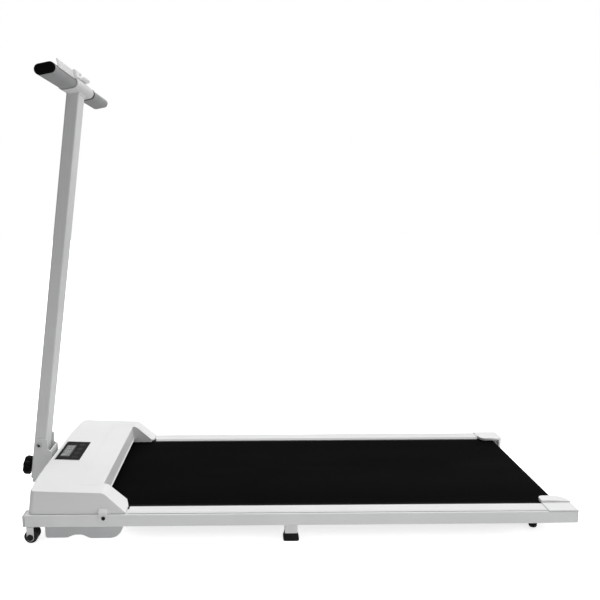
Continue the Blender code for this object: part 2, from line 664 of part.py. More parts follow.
# ---------------------------------------------------------------- wheels, legs and feet
def transport_wheel(name, side):
    """Fork under the rail's front end, a grooved wheel in it and the bolt that carries the wheel."""
    fork = extrusion(f"{name}_wheel_fork", rounded([
        (0.0024, 0.0367, 0), (0.0024, 0.0055, 0.0070), (0.0172, 0.0055, 0.0070), (0.0172, 0.0367, 0)], 4),
        *sorted((side * FORK_INNER, side * FORK_OUTER)), "Y")
    finish(fork, "white_paint", ROOT)
    low, high = sorted((side * (FORK_INNER + 0.0020), side * (FORK_OUTER - 0.0020)))
    cut(fork, box("fork_gap", (-0.0200, low, -0.0100), (0.0500, high, 0.0345)), ROOT)
    hole = rod("fork_hole", STUD_HOLE_RADIUS, -0.0300, 0.0300)
    cut(fork, lay(hole, "Y", (WHEEL_X, side * WHEEL_BOLT_Y, WHEEL_RADIUS)), ROOT)
    half = WHEEL_HALF
    wheel = turned(f"{name}_transport_wheel", [
        (0.0125, half), (WHEEL_RADIUS, half - 0.0015), (WHEEL_RADIUS, 0.0050), (0.0112, 0.0030),
        (0.0112, -0.0030), (WHEEL_RADIUS, -0.0050), (WHEEL_RADIUS, -half + 0.0015), (0.0125, -half),
        (0.0034, -half), (0.0034, half)], 24, ring=True)
    finish(lay(wheel, "Y", (WHEEL_X, side * WHEEL_Y, WHEEL_RADIUS)), "black_plastic", ROOT)
    bolt = turned(f"{name}_wheel_bolt", [
        (0, 0.0216), (0.0048, 0.0216), (0.0060, 0.0204), (0.0060, 0.0188), (0.0030, 0.0188),
        (0.0030, -0.0178), (0.0052, -0.0178), (0.0052, -0.0215), (0, -0.0215)], 12)
    finish(lay(bolt, "Y", (WHEEL_X, side * WHEEL_BOLT_Y, WHEEL_RADIUS)), "black_steel", ROOT)
    if side < 0:
        bolt.rotation_euler.x = math.pi / 2


def middle_leg(name, side):
    """Short tube leg under the rail with a rubber foot pushed into it."""
    low, high = sorted((side * 0.2330, side * 0.2570))
    bore = LEG_HALF - TUBE_WALL
    hollow = rectangle(LEG_X - bore, low + TUBE_WALL, LEG_X + bore, high - TUBE_WALL)
    leg = extrusion(f"{name}_middle_leg",
                    rectangle(LEG_X - LEG_HALF, low, LEG_X + LEG_HALF, high, 0.002, 2),
                    0.0178, RAIL_BOTTOM - GAP, "Z", [hollow])
    finish(leg, "white_paint", ROOT)
    outline = [(-LEG_HALF, 0.0175), (-0.0150, 0.0110), (-0.0168, 0.0045), (-0.0158, 0.0),
               (0.0158, 0.0), (0.0168, 0.0045), (0.0150, 0.0110), (LEG_HALF, 0.0175)]
    foot = extrusion(f"{name}_middle_foot", [(LEG_X + x, z) for x, z in outline], low, high, "Y")
    finish(foot, "black_rubber", ROOT)
    inset = TUBE_WALL + GAP
    spigot = box("foot_spigot", (LEG_X - bore + GAP, low + inset, 0.0160),
                 (LEG_X + bore - GAP, high - inset, 0.0290))
    add(foot, spigot, ROOT)


def rear_feet():
    """Cross bar hung from the deck under the belt, and a rubber foot near each end."""
    out, wall, low, high = 0.2150, 0.0030, 0.0165, 0.0446
    outline = [(-out, high), (-out, low), (out, low), (out, high), (out - wall, high),
               (out - wall, low + wall), (-out + wall, low + wall), (-out + wall, high)]
    bar = extrusion("rear_foot_bar", outline, REAR_FOOT_X - 0.0120, REAR_FOOT_X + 0.0120, "X")
    finish(bar, "black_steel", ROOT)
    for name, side in SIDES.items():
        hole = rod("foot_hole", STUD_HOLE_RADIUS, 0.0100, 0.0300)
        cut(bar, lay(hole, "Z", (REAR_FOOT_X, side * REAR_FOOT_Y, 0)), ROOT)
        foot = turned(f"{name}_rear_foot", [
            (0, 0.0205), (0.0030, 0.0205), (0.0030, 0.0162), (0.0088, 0.0162), (0.0088, 0.0050),
            (0.0070, 0.0014), (0.0040, 0.0), (0, 0.0)], 20)
        finish(lay(foot, "Z", (REAR_FOOT_X, side * REAR_FOOT_Y, 0)), "black_rubber", ROOT)


# ---------------------------------------------------------------- handle
def handle_bracket():
    """Welded channel, open to the front, that holds the foot of the post."""
    reach = PLATE_INNER + PLATE
    plate = rounded([(-0.0380, 0.1512, 0.002), (-0.0105, 0.1502, 0.002), (-0.0115, 0.1262, 0.004),
                     (-0.0030, 0.1212, 0.001), (-0.0030, 0.0625, 0), (-0.0006, 0.0625, 0),
                     (-0.0006, 0.0382, 0), (-0.0200, 0.0382, 0), (-0.0515, 0.0455, 0.002)], 2)
    bracket = extrusion("handle_bracket", plate, -reach, reach, "Y")
    finish(bracket, "white_paint", ROOT)
    inside = box("channel", (-0.1000, -PLATE_INNER, -0.0900), (WEB_FRONT, PLATE_INNER, 0.1000))
    cut(bracket, inside, HANDLE)
    behind = box("behind_web", (WEB_REAR, -PLATE_INNER, -0.1400), (0.0800, PLATE_INNER, 0.1000))
    cut(bracket, behind, HANDLE)
    above = box("above_web", (0.0100, -PLATE_INNER, WEB_TOP), (0.0400, PLATE_INNER, 0.1000))
    cut(bracket, above, HANDLE)
    add(bracket, box("base_flange", (-0.0036, -0.0450, 0.0382), (-0.0006, 0.0450, 0.0624)), ROOT)
    pivot = rod("pivot_hole", BOLT_RADIUS + GAP, -0.0500, 0.0500, 16)
    cut(bracket, lay(pivot, "Y", (0, 0, 0)), HANDLE)
    lock = rod("lock_hole", 0.0054, -0.0100, 0.0100, 16)
    cut(bracket, lay(lock, "X", (WEB_FRONT, 0, -KNOB_DROP)), HANDLE)

    bolt = turned("pivot_bolt", [(0, 0.0385), (BOLT_RADIUS, 0.0385), (BOLT_RADIUS, -0.0318),
                                 (0.0068, -0.0318), (0.0068, -0.0350), (0.0050, -0.0362), (0, -0.0362)], 16)
    finish(lay(bolt, "Y", (PIVOT_X, 0, PIVOT_Z)), "black_steel", ROOT)
    nut = extrusion("pivot_nut", circle(PIVOT_X, PIVOT_Z, 0.0074, 6), reach + GAP, reach + 0.0052, "Y",
                    [circle(PIVOT_X, PIVOT_Z, BOLT_RADIUS + 2 * GAP, 16)])
    finish(nut, "black_steel", ROOT)


def post():
    """Flat steel tube, cut square at the foot and along the handlebar at the top."""
    half = POST_DEPTH / 2
    tube = extrusion("post_tube", rectangle(-half, -POST_HALF, half, POST_HALF, 0.003, 2),
                     POST_BOTTOM, POST_TOP, "Z",
                     [rectangle(-half + TUBE_WALL, -POST_HALF + TUBE_WALL, half - TUBE_WALL,
                                POST_HALF - TUBE_WALL)])
    finish(tube, "white_paint", HANDLE)
    cut(tube, box("post_trim", (-0.0600, -0.0500, -0.0091), (0.0600, 0.0500, 0.0500)), BAR)
    pivot = rod("post_pivot_hole", BOLT_RADIUS + GAP, -0.0500, 0.0500, 16)
    cut(tube, lay(pivot, "Y", (0, 0, 0)), HANDLE)
    lock = rod("post_lock_hole", BOLT_RADIUS + GAP, -0.0300, 0.0300, 16)
    cut(tube, lay(lock, "X", (0, 0, -KNOB_DROP)), HANDLE)

    plug = box("post_end_plug", (-half, -POST_HALF, POST_BOTTOM - 0.0028),
               (half, POST_HALF, POST_BOTTOM - GAP))
    finish(plug, "black_plastic", HANDLE)
    inset = TUBE_WALL + GAP
    add(plug, box("post_plug_spigot", (-half + inset, -POST_HALF + inset, POST_BOTTOM - 0.0010),
                  (half - inset, POST_HALF - inset, POST_BOTTOM + 0.0110)), HANDLE)


def lock_knob():
    """Lobed hand knob on a bolt that passes through the post into the bracket's web."""
    lobes = 7
    points = lobes * 6
    outline = []
    for index in range(points):
        turn = math.tau * index / points
        radius = KNOB_RADIUS - 0.0018 + 0.0018 * math.cos(lobes * turn)
        outline.append((radius * math.cos(turn), radius * math.sin(turn)))
    axis = empty("knob_axis", (0, 0, -KNOB_DROP), (0, 0, 0), HANDLE)
    face = -POST_DEPTH / 2
    knob = extrusion("lock_knob", outline, KNOB_FACE, -0.0215, "X")
    finish(knob, "black_plastic", axis)
    bevel = knob.modifiers.new("bevel", "BEVEL")
    bevel.width = 0.0015
    bevel.segments = 1
    bevel.limit_method = "ANGLE"
    bevel.angle_limit = math.radians(60)
    hub = rod("knob_hub", 0.0110, -0.0230, face - GAP, 20)
    add(knob, lay(hub, "X", (0, 0, 0)), axis)
    bore = rod("knob_bore", BOLT_RADIUS + GAP, -0.0340, 0.0, 12)
    cut(knob, lay(bore, "X", (0, 0, 0)), axis)
    bolt = rod("lock_bolt", BOLT_RADIUS, -0.0335, WEB_REAR - GAP, 12)
    finish(lay(bolt, "X", (0, 0, 0)), "bare_steel", axis)


def handlebar():
    """Flat-oval crossbar with its middle cover, grips, end plugs and device rest."""
    bar = extrusion("handlebar_tube", oval(*BAR_OVAL), -BAR_HALF, BAR_HALF, "Y",
                    [oval(*BAR_HOLLOW)])
    finish(bar, "white_paint", BAR)

    cover = extrusion("handlebar_cover", oval(*COVER_OVAL), -COVER_HALF, COVER_HALF, "Y")
    finish(cover, "white_plastic", BAR)
    add(cover, box("cover_collar", (-COLLAR_DEPTH, -COLLAR_HALF, COLLAR_BOTTOM),
                   (COLLAR_DEPTH, COLLAR_HALF, BAR_RISE)), HANDLE)
    cut(cover, extrusion("cover_bore", oval(*SLEEVE_BORE), -0.1000, 0.1000, "Y"), BAR)
    half = POST_DEPTH / 2 + GAP
    cut(cover, box("cover_socket", (-half, -POST_HALF - GAP, 0.7900),
                   (half, POST_HALF + GAP, BAR_RISE)), HANDLE)

    for name, side in SIDES.items():
        low, high = sorted((side * GRIP_START, side * GRIP_END))
        grip = extrusion(f"{name}_grip", oval(*GRIP_OVAL), low, high, "Y", [oval(*SLEEVE_BORE)])
        finish(grip, "grip_rubber", BAR)
        low, high = sorted((side * (GRIP_END + GAP), side * (GRIP_END + 0.0033)))
        plug = extrusion(f"{name}_grip_plug", oval(*PLUG_OVAL), low, high, "Y")
        finish(plug, "black_plastic", BAR)
        low, high = sorted((side * 0.2360, side * (GRIP_END + 0.0010)))
        add(plug, extrusion("grip_plug_spigot", oval(*SPIGOT_OVAL), low, high, "Y"), BAR)

    rest = box("device_rest", (REST_INNER, -0.2320, 0.0010), (0.0226, -0.1040, 0.0180))
    finish(rest, "white_plastic", BAR)
    add(rest, box("rest_stop", (REST_INNER, -0.1060, 0.0020), (0.0290, -0.0825, 0.0195)), BAR)
    add(rest, box("rest_saddle", (0.0020, -0.0840, REST_BOTTOM), (0.0288, -0.0520, 0.0200)), BAR)
    add(rest, box("rest_bridge", (0.0022, -0.0540, REST_BOTTOM + 0.0002), (0.0195, -0.0160, 0.0192)), BAR)
    add(rest, box("rest_cradle", (0.0024, -0.0180, REST_BOTTOM + 0.0004), (0.0270, 0.0430, 0.0198)), BAR)


# ---------------------------------------------------------------- build
tube_across("front_crossmember", 0.0, 0.030, 0.0378, 0.0628)
deck_and_supports()
for side_name, side_sign in SIDES.items():
    side_rail(side_name + "_side_rail", side_sign)
    rail_front_plug(side_name + "_rail_plug", side_sign)
    foot_rail(side_name + "_foot_rail", side_sign)
    end_cap(side_name + "_end_cap", side_sign)
    transport_wheel(side_name, side_sign)
    middle_leg(side_name, side_sign)
rear_feet()
rollers_and_belts()
motor_and_controls()
bottom_pan()
motor_hood()
display()
handle_bracket()
post()
lock_knob()
handlebar()
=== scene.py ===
import math

import bmesh
import bpy
from mathutils import Matrix, Vector


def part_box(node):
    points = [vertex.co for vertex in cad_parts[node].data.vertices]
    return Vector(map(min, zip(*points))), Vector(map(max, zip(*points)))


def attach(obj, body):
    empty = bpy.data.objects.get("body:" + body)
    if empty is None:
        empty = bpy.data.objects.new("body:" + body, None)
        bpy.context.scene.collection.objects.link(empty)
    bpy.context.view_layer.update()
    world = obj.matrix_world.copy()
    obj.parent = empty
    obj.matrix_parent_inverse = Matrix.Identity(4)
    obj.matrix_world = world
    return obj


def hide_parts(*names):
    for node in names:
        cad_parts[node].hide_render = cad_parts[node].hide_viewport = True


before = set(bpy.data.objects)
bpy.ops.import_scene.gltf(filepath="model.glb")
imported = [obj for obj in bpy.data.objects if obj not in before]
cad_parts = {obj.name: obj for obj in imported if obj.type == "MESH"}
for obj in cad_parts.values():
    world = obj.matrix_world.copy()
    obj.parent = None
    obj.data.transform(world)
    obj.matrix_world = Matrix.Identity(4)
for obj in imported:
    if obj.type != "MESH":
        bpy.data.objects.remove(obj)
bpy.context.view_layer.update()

# ---------------------------------------------------------------- places taken from the frame
RAIL_LOW, RAIL_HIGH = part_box("left_side_rail")
MACHINE = Matrix.Translation((RAIL_LOW.x, 0, 0))      # X from the rail fronts, Z from the floor
RAIL_LENGTH = RAIL_HIGH.x - RAIL_LOW.x
RAIL_OUTER = -RAIL_LOW.y
RAIL_INNER = -RAIL_HIGH.y
SIDES = {"left": -1, "right": 1}                      # the way each side lies along Y

LEAN = math.radians(8.25)                             # the post leans this far towards the rear
BAR_TILT = math.radians(-19.25)                       # the handlebar's turn against the post
PIVOT = sum(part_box("pivot_bolt"), Vector()) / 2
PIVOT.y = 0.0
HANDLE = Matrix.Translation(PIVOT) @ Matrix.Rotation(LEAN, 4, "Y")
BAR_CENTRE = sum(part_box("handlebar_tube"), Vector()) / 2
BAR = Matrix.Translation(BAR_CENTRE) @ Matrix.Rotation(LEAN + BAR_TILT, 4, "Y")
BAR_RISE = (HANDLE.inverted() @ BAR_CENTRE).z


def span_y(side, inner, outer):
    """The Y values of a stretch on one side, from distances to the middle, the lower one first."""
    return sorted((side * inner, side * outer))


def local_box(node):
    """A CAD node's lowest and highest corner, with X from the rail fronts."""
    low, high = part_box(node)
    return low - MACHINE.translation, high - MACHINE.translation


# ---------------------------------------------------------------- camera, floor and light
LENS = 42.93
SENSOR = 36.0
SHIFT = (0.0718, 0.0500)
CAMERA_AT = Vector((0.4690, -1.6608, 0.7035))        # X from the rail fronts
YAW = math.radians(0.6527)
PITCH = math.radians(10.1446)
ROLL = math.radians(-0.1632)
FLOOR_HALF = 12.0
FLOOR_DROP = 0.0002                 # keeps the floor clear of the feet
SUN_FROM = Vector((0.05, 0.18, 1.0))
SUN_POWER = 1.62
SUN_WIDTH = math.radians(70)
SKY = (0.50, 0.44, 0.24, 0.08)      # even part, then the share gained towards +X, +Y and +Z
POOL_CENTRE = (0.60, 0.0, 0.0)
POOL_REACH = (1.0, 2.2)             # the floor's pool of light starts to fade, then ends
POOL_SHADE = (0.62, 0.12)
FLOOR_GLOW = 0.34                   # the floor's own light, which softens the machine's shadow
TABLE_GLOW = 0.76                   # the same as the eye sees it


def camera():
    """The photograph's view: along Y and slightly down, from beyond the near rail."""
    ahead = Vector((math.sin(YAW) * math.cos(PITCH), math.cos(YAW) * math.cos(PITCH),
                    -math.sin(PITCH)))
    level = Vector((math.cos(YAW), -math.sin(YAW), 0))
    upright = level.cross(ahead)
    right = level * math.cos(ROLL) + upright * math.sin(ROLL)
    up = upright * math.cos(ROLL) - level * math.sin(ROLL)
    data = bpy.data.cameras.new("camera")
    data.lens = LENS
    data.sensor_width = SENSOR
    data.shift_x, data.shift_y = SHIFT
    obj = placed("camera", data)
    facing = Matrix((right, up, -ahead)).transposed().to_4x4()
    obj.matrix_world = MACHINE @ Matrix.Translation(CAMERA_AT) @ facing
    bpy.context.scene.camera = obj


def studio():
    """A floor, a surround that looks white and lights by direction, and one very soft sun."""
    bpy.context.scene.view_settings.view_transform = "Standard"
    world = bpy.data.worlds.new("studio")
    world.use_nodes = True
    bpy.context.scene.world = world
    nodes, link = world.node_tree.nodes, world.node_tree.links.new
    shade = nodes["Background"]
    shade.inputs["Color"].default_value = (1.0, 1.0, 1.0, 1.0)
    towards = nodes.new("ShaderNodeVectorMath")
    towards.operation = "DOT_PRODUCT"
    towards.inputs[1].default_value = SKY[1:]
    link(nodes.new("ShaderNodeTexCoord").outputs["Generated"], towards.inputs[0])
    glow = nodes.new("ShaderNodeMath")
    glow.inputs[1].default_value = SKY[0]
    link(towards.outputs["Value"], glow.inputs[0])
    backdrop = nodes.new("ShaderNodeMapRange")
    backdrop.inputs["To Max"].default_value = 1.0
    link(glow.outputs[0], backdrop.inputs["To Min"])
    seen = nodes.new("ShaderNodeLightPath").outputs["Is Camera Ray"]
    link(seen, backdrop.inputs["Value"])
    link(backdrop.outputs["Result"], shade.inputs["Strength"])

    sun = bpy.data.lights.new("overhead", "SUN")
    sun.energy = SUN_POWER
    sun.angle = SUN_WIDTH
    placed("overhead", sun).rotation_euler = SUN_FROM.to_track_quat("Z", "Y").to_euler()

    shape = bmesh.new()
    bmesh.ops.create_grid(shape, x_segments=2, y_segments=2, size=FLOOR_HALF)
    floor = solid("floor", shape)
    floor.location.z = -FLOOR_DROP
    floor.data.materials.append(floor_look())


# ---------------------------------------------------------------- outlines
def rounded(corners, steps=6):
    """Outline through (x, y, radius) corners, each turned with an arc of its radius."""
    outline = []
    for index, (x, y, radius) in enumerate(corners):
        here = Vector((x, y))
        if radius == 0:
            outline.append((x, y))
            continue
        back = (Vector(corners[index - 1][:2]) - here).normalized()
        ahead = (Vector(corners[(index + 1) % len(corners)][:2]) - here).normalized()
        half = back.angle(ahead) / 2
        centre = here + (back + ahead).normalized() * radius / math.sin(half)
        start = here + back * radius / math.tan(half) - centre
        end = here + ahead * radius / math.tan(half) - centre
        first = math.atan2(start.y, start.x)
        sweep = (math.atan2(end.y, end.x) - first + math.pi) % math.tau - math.pi
        for step in range(steps + 1):
            angle = first + sweep * step / steps
            outline.append((centre.x + radius * math.cos(angle),
                            centre.y + radius * math.sin(angle)))
    return outline


def rectangle(x0, y0, x1, y1, radius=0.0, steps=6):
    """Outline of a rectangle with four equal corners."""
    return rounded([(x, y, radius) for x, y in ((x0, y0), (x1, y0), (x1, y1), (x0, y1))], steps)


def oval(width, height, steps=12):
    """A flat oval about the origin: straight sides and full round ends."""
    return rectangle(-width / 2, -height / 2, width / 2, height / 2, height / 2 - 1e-5, steps)


def circle(radius, steps):
    """Outline of a circle, or of a hexagon with six steps, about the origin."""
    turns = [math.tau * step / steps for step in range(steps)]
    return [(radius * math.cos(turn), radius * math.sin(turn)) for turn in turns]


def belt_loop(first, first_radius, second, second_radius, steps, along=0):
    """Closed path of an open belt round two circles, with points along its straight runs too."""
    start = Vector(first)
    line = Vector(second) - start
    heading = math.atan2(line.y, line.x)
    spread = math.acos((first_radius - second_radius) / line.length)
    path = []
    arcs = ((first, first_radius, heading + spread, heading - spread + math.tau),
            (second, second_radius, heading - spread, heading + spread))
    for index, (centre, radius, low, high) in enumerate(arcs):
        for step in range(steps + 1):
            angle = low + (high - low) * step / steps
            path.append((Vector(centre) + radius * Vector((math.cos(angle), math.sin(angle))),
                         Vector((math.cos(angle), math.sin(angle)))))
        centre, radius, angle = arcs[1 - index][0], arcs[1 - index][1], arcs[1 - index][2]
        outward = Vector((math.cos(angle), math.sin(angle)))
        target = Vector(centre) + radius * outward
        last = path[-1][0]
        path += [(last.lerp(target, step / (along + 1)), outward) for step in range(1, along + 1)]
    return path


# ---------------------------------------------------------------- solids
def placed(name, data):
    """A new object of the scene."""
    obj = bpy.data.objects.new(name, data)
    bpy.context.scene.collection.objects.link(obj)
    return obj


def solid(name, shape):
    """Turn a bmesh into an object of the scene, its faces pointing out."""
    bmesh.ops.recalc_face_normals(shape, faces=shape.faces)
    mesh = bpy.data.meshes.new(name)
    shape.to_mesh(mesh)
    shape.free()
    return placed(name, mesh)


def skin(shape, rings, around=False):
    """Join rings of a bmesh's vertices by faces, with a cap at both ends or round in a loop."""
    if not around:
        shape.faces.new(rings[0])
        shape.faces.new(rings[-1])
    for ring, following in zip(rings, rings[1:] + rings[:around]):
        for index in range(len(ring)):
            after = (index + 1) % len(ring)
            shape.faces.new((ring[index], ring[after], following[after], following[index]))


SPREAD = {
    "X": lambda a, b, c: (c, a, b),
    "Y": lambda a, b, c: (a, c, b),
    "Z": lambda a, b, c: (a, b, c),
}


def loft(name, sections, around=False):
    """A solid through closed rings of points."""
    shape = bmesh.new()
    skin(shape, [[shape.verts.new(point) for point in ring] for ring in sections], around)
    return solid(name, shape)


def prism(name, outline, low, high, along):
    """An outline carried from low to high along X (outline in y, z), Y (x, z) or Z (x, y)."""
    spread = SPREAD[along]
    return loft(name, [[spread(a, b, c) for a, b in outline] for c in (low, high)])


def oval_loft(name, stations, width, height, steps=14, side=1):
    """A flat oval carried along Y through stations of (y, how much it shrinks all round)."""
    return loft(name, [[(x, side * y, z) for x, z in
                        oval(width - 2 * shrink, height - 2 * shrink, steps)]
                       for y, shrink in stations])


def block(name, low, high):
    """A box from its lowest to its highest corner."""
    shape = bmesh.new()
    bmesh.ops.create_cube(shape, size=1.0)
    low, high = Vector(low), Vector(high)
    bmesh.ops.scale(shape, vec=high - low, verts=shape.verts)
    bmesh.ops.translate(shape, vec=(low + high) / 2, verts=shape.verts)
    return solid(name, shape)


def lathe(name, profile, steps=48, closed=False):
    """A solid turned about local Z from (radius, height) points."""
    shape = bmesh.new()
    rings = []
    for radius, height in profile:
        count = 1 if radius < 1e-7 else steps
        rings.append([shape.verts.new((radius * math.cos(t), radius * math.sin(t), height))
                      for t in (math.tau * step / steps for step in range(count))])
    for ring, following in zip(rings, rings[1:] + rings[:closed]):
        for index in range(steps):
            after = (index + 1) % steps
            corners = [ring[index % len(ring)], ring[after % len(ring)],
                       following[after % len(following)], following[index % len(following)]]
            corners = list(dict.fromkeys(corners))
            if len(corners) > 2:
                shape.faces.new(corners)
    if not closed:
        for ring in (rings[0], rings[-1]):
            if len(ring) > 1:
                shape.faces.new(ring)
    return solid(name, shape)


def sweep_loop(name, path, section):
    """A closed belt: (y, outward) section points round a path of (point, outward) pairs."""
    return loft(name, [[(point.x + outward.x * rise, y, point.y + outward.y * rise)
                        for y, rise in section] for point, outward in path], around=True)


def evaluated_mesh(obj):
    """An object's mesh with its modifiers applied."""
    bpy.context.view_layer.update()
    graph = bpy.context.evaluated_depsgraph_get()
    return bpy.data.meshes.new_from_object(obj.evaluated_get(graph))


def bead(name, points, radius, closed=False):
    """A round wire through points, as a mesh."""
    curve = bpy.data.curves.new(name, "CURVE")
    curve.dimensions = "3D"
    curve.bevel_depth = radius
    curve.bevel_resolution = 3
    curve.use_fill_caps = True
    spline = curve.splines.new("POLY")
    spline.points.add(len(points) - 1)
    spline.use_cyclic_u = closed
    for target, point in zip(spline.points, points):
        target.co = (*point, 1)
    source = placed(name, curve)
    mesh = evaluated_mesh(source)
    bpy.data.objects.remove(source)
    return placed(name, mesh)


def settle(obj):
    """Apply an object's modifiers."""
    mesh = evaluated_mesh(obj)
    obj.modifiers.clear()
    obj.data = mesh
    return obj


def combine(obj, other, operation):
    """Apply a Boolean operation with another shape, which it uses up."""
    modifier = obj.modifiers.new(operation.lower(), "BOOLEAN")
    modifier.operation = operation
    modifier.solver = "EXACT"
    modifier.object = other
    settle(obj)
    bpy.data.objects.remove(other)
    return obj


def cut(obj, *cutters):
    """Take shapes away from an object."""
    for cutter in cutters:
        combine(obj, cutter, "DIFFERENCE")
    return obj


def add(obj, *others):
    """Fuse shapes with an object."""
    for other in others:
        combine(obj, other, "UNION")
    return obj


def gather(obj, *others):
    """Put other closed shapes into one mesh with an object, as parts that touch or sink into it."""
    shape = bmesh.new()
    for member in (obj, *others):
        shape.from_mesh(member.data)
    shape.to_mesh(obj.data)
    shape.free()
    for other in others:
        bpy.data.objects.remove(other)
    return obj


def soften(obj, width, segments=3, angle=30):
    """Round every edge sharper than an angle in degrees."""
    modifier = obj.modifiers.new("soft_edges", "BEVEL")
    modifier.width = width
    modifier.segments = segments
    modifier.limit_method = "ANGLE"
    modifier.angle_limit = math.radians(angle)
    return settle(obj)


def turn(obj, along, at=(0, 0, 0)):
    """Lay a shape made about local Z along X, Y, -Y or Z, and move it."""
    quarter, axis = {"X": (1, "Y"), "Y": (-1, "X"), "-Y": (1, "X"), "Z": (0, "Z")}[along]
    spin = Matrix.Rotation(quarter * math.pi / 2, 4, axis)
    obj.data.transform(Matrix.Translation(at) @ spin)
    return obj


def piece(obj, where, body, look, *nodes, sharp=35):
    """Place, smooth and finish a shape, give it its body, and hide the nodes it stands for."""
    obj.data.transform(where)
    obj.data.shade_smooth()
    obj.data.set_sharp_from_angle(angle=math.radians(sharp))
    modifier = obj.modifiers.new("even_shading", "WEIGHTED_NORMAL")
    modifier.keep_sharp = True
    obj.data.materials.clear()
    obj.data.materials.append(LOOKS[look])
    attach(obj, body)
    if nodes:
        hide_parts(*nodes)
    return obj


def fixed(obj, look, *nodes, sharp=35):
    """A piece that belongs to the frame and doesn't move."""
    return piece(obj, MACHINE, "treadmill", look, *nodes, sharp=sharp)


# ---------------------------------------------------------------- material building
CONTRAST = (0.3, 0.7)          # the part of a noise's range that is stretched to 0 to 1


class Look:
    """A Principled material whose colour, roughness and relief come from node textures."""

    def __init__(self, name, roughness=0.5, metallic=0.0, specular=0.5):
        self.material = bpy.data.materials.new(name)
        self.material.use_nodes = True
        self.tree = self.material.node_tree
        self.shader = self.tree.nodes["Principled BSDF"]
        self.shader.inputs["Roughness"].default_value = roughness
        self.shader.inputs["Metallic"].default_value = metallic
        self.shader.inputs["Specular IOR Level"].default_value = specular
        self.place = self.node("TexCoord").outputs["Object"]

    def node(self, kind, **inputs):
        """A new node, its inputs set to values or linked to other nodes' outputs."""
        made = self.tree.nodes.new("ShaderNode" + kind)
        for name, value in inputs.items():
            self.feed(made.inputs[name.replace("_", " ")], value)
        return made

    def feed(self, socket, value):
        if isinstance(value, bpy.types.NodeSocket):
            self.tree.links.new(value, socket)
        else:
            socket.default_value = value

    def stretch(self, scale):
        """The place, stretched differently along X, Y and Z."""
        mapping = self.node("Mapping", Vector=self.place)
        mapping.inputs["Scale"].default_value = scale
        return mapping.outputs["Vector"]

    def noise(self, scale, detail=2.0, roughness=0.5, place=None):
        return self.node("TexNoise", Vector=place or self.place, Scale=scale, Detail=detail,
                         Roughness=roughness).outputs["Fac"]

    def cells(self, scale):
        return self.node("TexVoronoi", Vector=self.place, Scale=scale).outputs["Distance"]

    def wave(self, scale, direction, place=None):
        made = self.node("TexWave", Vector=place or self.place, Scale=scale)
        made.bands_direction = direction
        made.wave_profile = "SIN"
        return made.outputs["Fac"]

    def span(self, value, low, high, to_low=0.0, to_high=1.0):
        """A value carried from one range to another and held at its ends."""
        made = self.node("MapRange", Value=value)
        made.inputs["From Min"].default_value = low
        made.inputs["From Max"].default_value = high
        made.inputs["To Min"].default_value = to_low
        made.inputs["To Max"].default_value = to_high
        return made.outputs["Result"]

    def maths(self, operation, first, second=0.0):
        made = self.node("Math")
        made.operation = operation
        self.feed(made.inputs[0], first)
        self.feed(made.inputs[1], second)
        return made.outputs[0]

    def mix(self, share, first, second):
        """Colour that goes from first to second as share goes from 0 to 1."""
        made = self.node("Mix")
        made.data_type = "RGBA"
        self.feed(made.inputs["Factor"], share)
        sockets = [s for s in made.inputs if s.type == "RGBA"]
        self.feed(sockets[0], (*first, 1.0) if isinstance(first, tuple) else first)
        self.feed(sockets[1], (*second, 1.0))
        return [s for s in made.outputs if s.type == "RGBA"][0]

    def colour(self, value):
        self.feed(self.shader.inputs["Base Color"], value)

    def rough(self, value):
        self.feed(self.shader.inputs["Roughness"], value)

    def relief(self, *layers):
        """Stack (height, distance in metres, strength) bumps."""
        normal = None
        for height, distance, strength in layers:
            bump = self.node("Bump", Height=height)
            bump.inputs["Distance"].default_value = distance
            bump.inputs["Strength"].default_value = strength
            if normal is not None:
                self.tree.links.new(normal, bump.inputs["Normal"])
            normal = bump.outputs["Normal"]
        self.tree.links.new(normal, self.shader.inputs["Normal"])
        return self


def finish(name, cloud, tones, rough, relief, marks=None, stretch=None, mark=None, specular=0.5,
           metallic=0.0):
    """A cloudy tone with marks over it, uneven roughness and layers of relief.

    cloud   noise scale and detail, and where in the noise the first tone ends and the other starts
    marks   noise scale, detail and roughness, and where in the noise a mark starts and is full
    mark    share and colour of the marks
    rough   noise scale and detail, lowest and highest roughness
    relief  per layer: scale, noise detail (0 for cells), distance in metres, strength
    """
    look = Look(name, specular=specular, metallic=metallic)
    base = look.mix(look.span(look.noise(*cloud[:2]), *cloud[2:]), *tones)
    if marks:
        place = look.stretch(stretch) if stretch else None
        worn = look.span(look.noise(*marks[:3], place), *marks[3:])
        base = look.mix(look.maths("MULTIPLY", worn, mark[0]), base, mark[1])
    look.colour(base)
    look.rough(look.span(look.noise(*rough[:2]), *CONTRAST, *rough[2:]))
    return look.relief(*((look.noise(scale, detail) if detail else look.cells(scale), *strength)
                         for scale, detail, *strength in relief))


def clear_white():
    """Bright white glossy plastic of the device rest, with faint sink marks and a milky depth."""
    look = finish("glossy_white_plastic", cloud=(12.0, 2.0, 0.35, 0.65), specular=0.35,
                  tones=((0.860, 0.862, 0.865), (0.900, 0.902, 0.905)),
                  rough=(60.0, 4.0, 0.30, 0.42),
                  relief=((30.0, 2.0, 0.0002, 0.15), (700.0, 3.0, 0.00004, 0.25)))
    look.shader.inputs["Subsurface Weight"].default_value = 0.7
    look.shader.inputs["Subsurface Radius"].default_value = (1.0, 1.0, 1.0)
    look.shader.inputs["Subsurface Scale"].default_value = 0.010
    return look


